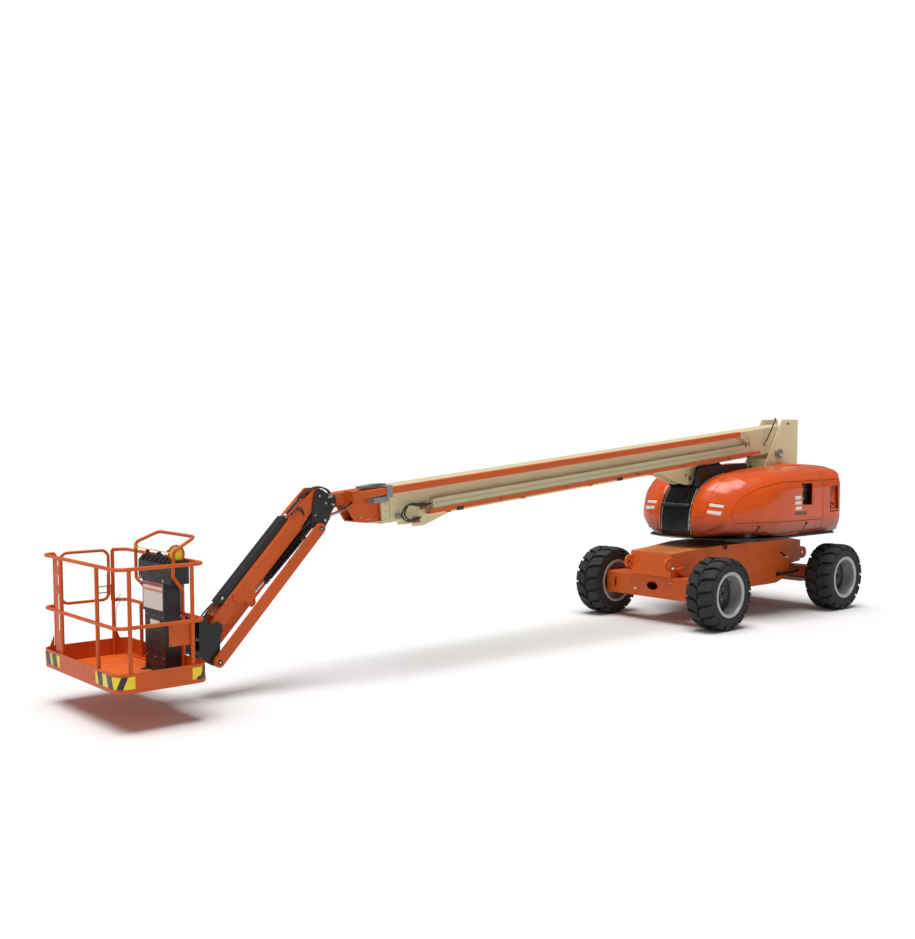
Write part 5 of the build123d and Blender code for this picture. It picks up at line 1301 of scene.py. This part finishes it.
for x, z in ((-8.640, 1.118), (-8.700, 1.052)):
    k.bolt(at(x, -0.1250, z), (0, -1, 0), 0.009)
k.make("jib_fittings", "jib", 0.0006)
# clip, pin heads and bolts on the levelling bracket
k = Kit()
k.box(at(-7.672, -0.1390, 2.085), at(-7.612, -0.1440, 2.125), "steel")
for x, z, r in ((-7.786, 2.114, 0.017), (-7.701, 2.030, 0.012), (-7.712, 1.836, 0.015), (-7.845, 1.900, 0.010)):
    for sd in (1, -1):
        k.bolt(at(x, sd * 0.1392, z), (0, sd, 0), r, "steel", 0.005)
k.make("bracket_bolts", "level_head", 0.0008)
# side pipe, hoses and gland nut of the jib cylinder
jc0, jc1 = Vector(at(-7.790, 0, 1.812)), Vector(at(-8.695, 0, 0.975))
jd = (jc1 - jc0).normalized()
jn = Vector((-jd.z, 0, jd.x))
if jn.z > 0:
    jn = -jn
k = Kit()
k.lathe([(0.0555, 0.846), (0.060, 0.850), (0.060, 0.872), (0.057, 0.878), (0.060, 0.884), (0.060, 0.904), (0.0555, 0.908)], jc0, jd, "black_paint", 24, closed=True)
for h in (0.34, 0.60):
    k.lathe([(0.0475, h), (0.0515, h + 0.003), (0.0515, h + 0.022), (0.0475, h + 0.025)], jc0, jd, "black_paint", 24, closed=True)
side = Vector((0, -1, 0))
for i, (oy, on, h0, h1) in enumerate(((0.040, 0.038, 0.20, 0.84), (0.054, 0.016, 0.28, 0.80))):
    q = [jc0 + jd * h + side * oy + jn * on for h in (h0, h0 + 0.03)] + [jc0 + jd * h + side * oy + jn * on for h in (h1 - 0.03, h1)]
    k.tube(q, 0.0075, "hose", 10)
for h in (0.26, 0.32):
    q = jc0 + jd * h + side * 0.040 + jn * 0.030
    k.rod(q, q + side * 0.026, 0.010, "label", 12)
k.make("jib_cylinder_pipes", "jib_barrel", 0.0006)
# end caps of the link bars' pins
k = Kit()
for x, z in ((-7.805, 1.748), (-9.118, 0.401)):
    for sd in (1, -1):
        k.lathe([(0.046, 0), (0.046, 0.002), (0.042, 0.004)], at(x, sd * 0.1952, z), (0, sd, 0), "orange_paint", 28)
        k.bolt(at(x, sd * 0.1990, z), (0, sd, 0), 0.015, "steel", 0.005)
k.make("link_pin_caps", "link", 0.0006)
for i, dy in enumerate((0.0, 0.028, 0.060)):
    path = [at(-9.020, -0.112 + dy, 1.075), at(-9.100 - 0.01 * i, -0.112 + dy, 1.012), at(-9.180 - 0.02 * i, -0.112 + dy, 0.930),
            at(-9.262 - 0.016 * i, -0.112 + dy, 0.830), at(-9.312 - 0.012 * i, -0.112 + dy, 0.730), at(-9.330 - 0.006 * i, -0.112 + dy, 0.640)]
    hose("jib_low_hose_%d" % i, path, 0.0090, None, 8, ("jib", "rotator", at(-9.10, -0.11, 1.00), at(-9.30, -0.11, 0.76)))
for i, dy in enumerate((0.0, 0.022)):
    path = [at(-7.640, -0.146 - dy, 2.020), at(-7.545, -0.150 - dy, 1.985), at(-7.434, -0.150 - dy, 1.980), at(-7.349, -0.148 - dy, 2.030),
            at(-7.285, -0.140 - dy, 2.075)]
    hose("nose_hose_%d" % i, path, 0.0085, None, 8, ("level_head", "fly", at(-7.62, -0.15, 2.01), at(-7.38, -0.15, 2.00)))

# ---------------------------------------------------------------- chassis details
k = Kit()
for s in (1, -1):
    y0, y1 = sorted((s * 0.376, s * 0.460))
    k.prism([(-1.700, 0.830), (-1.550, 0.845), (-1.400, 0.710), (-1.555, 0.680)], lambda a, b, h: at(a, y0 + h, b), y1 - y0, "orange_paint")
for y, z in ((0.291, 0.478), (-0.400, 0.833)):
    k.lathe([(0.018, 0), (0.020, 0.004), (0.012, 0.014), (0.012, 0.028), (0.007, 0.034)], at(-1.740, y, z), (-1, 0, 0), "label", 16)
for y, z in ((0.398, 0.603), (-0.356, 0.620)):
    k.bolt(at(-1.740, y, z), (-1, 0, 0), 0.012)
for x, z in ((0.890, 0.885), (0.965, 0.852), (1.040, 0.820)):
    k.lathe([(0.020, 0), (0.020, 0.018), (0.012, 0.022), (0.012, 0.034)], at(x, -0.490, z), (0, -1, 0), "label" if x > 1.0 else "black_paint", 6, smooth=False)
for i in range(2):
    q = [at(0.789, -0.496 - 0.004 * i, 0.543 + 0.030 * i), at(0.960, -0.508 - 0.010 * i, 0.536 + 0.030 * i), at(1.130, -0.512 - 0.012 * i, 0.547 + 0.028 * i),
         at(1.290, -0.510 - 0.010 * i, 0.560 + 0.026 * i), at(1.400, -0.500 - 0.006 * i, 0.568 + 0.024 * i)]
    k.tube(smooth_path(q, 6), 0.011, "hose", 10)
for x, z in ((0.789, 0.558), (1.400, 0.580)):
    k.box(at(x - 0.020, -0.512, z - 0.034), at(x + 0.020, -0.480, z + 0.034), "black_paint")
k.box(at(-0.640, -0.4945, 1.048), at(-0.565, -0.486, 1.104), "dark_gap")
for x in (-0.648, -0.565):
    k.box(at(x, -0.4965, 1.042), at(x + 0.008, -0.486, 1.110), "orange_paint")
k.make("chassis_fittings", "chassis", 0.001)

# ---------------------------------------------------------------- floor, light
def stage_and_light():
    me = bpy.data.meshes.new("floor")
    s = 120.0
    me.from_pydata([(-s, -s, 0), (s, -s, 0), (s, s, 0), (-s, s, 0)], [], [(0, 1, 2, 3)])
    ob = bpy.data.objects.new("floor", me)
    bpy.context.scene.collection.objects.link(ob)
    m, nt, bsdf = new_material("studio_floor")
    bsdf.inputs["Base Color"].default_value = (0.86, 0.86, 0.86, 1)
    bsdf.inputs["Roughness"].default_value = 0.9
    me.materials.append(m)
    w = bpy.data.worlds.new("studio")
    bpy.context.scene.world = w
    w.use_nodes = True
    nt = w.node_tree
    bg = nt.nodes["Background"]
    bg.inputs[0].default_value = (1.0, 0.995, 0.985, 1)
    lp = nt.nodes.new("ShaderNodeLightPath")
    st = nt.nodes.new("ShaderNodeMapRange")
    st.inputs["To Min"].default_value = 0.22
    st.inputs["To Max"].default_value = 1.0
    nt.links.new(lp.outputs["Is Camera Ray"], st.inputs["Value"])
    nt.links.new(st.outputs[0], bg.inputs[1])

    def sun(name, toward, strength, angle, color=(1, 1, 1)):
        l = bpy.data.lights.new(name, "SUN")
        l.energy = strength
        l.angle = math.radians(angle)
        l.color = color
        o = bpy.data.objects.new(name, l)
        bpy.context.scene.collection.objects.link(o)
        o.rotation_euler = Vector(toward).to_track_quat("-Z", "Y").to_euler()

    sun("high_softbox", (0.15, 0.03, -1.0), 3.15, 40)
    sun("front_fill", (0.75, 0.60, -0.35), 0.08, 40)


stage_and_light()
bpy.context.scene.view_settings.view_transform = "Standard"
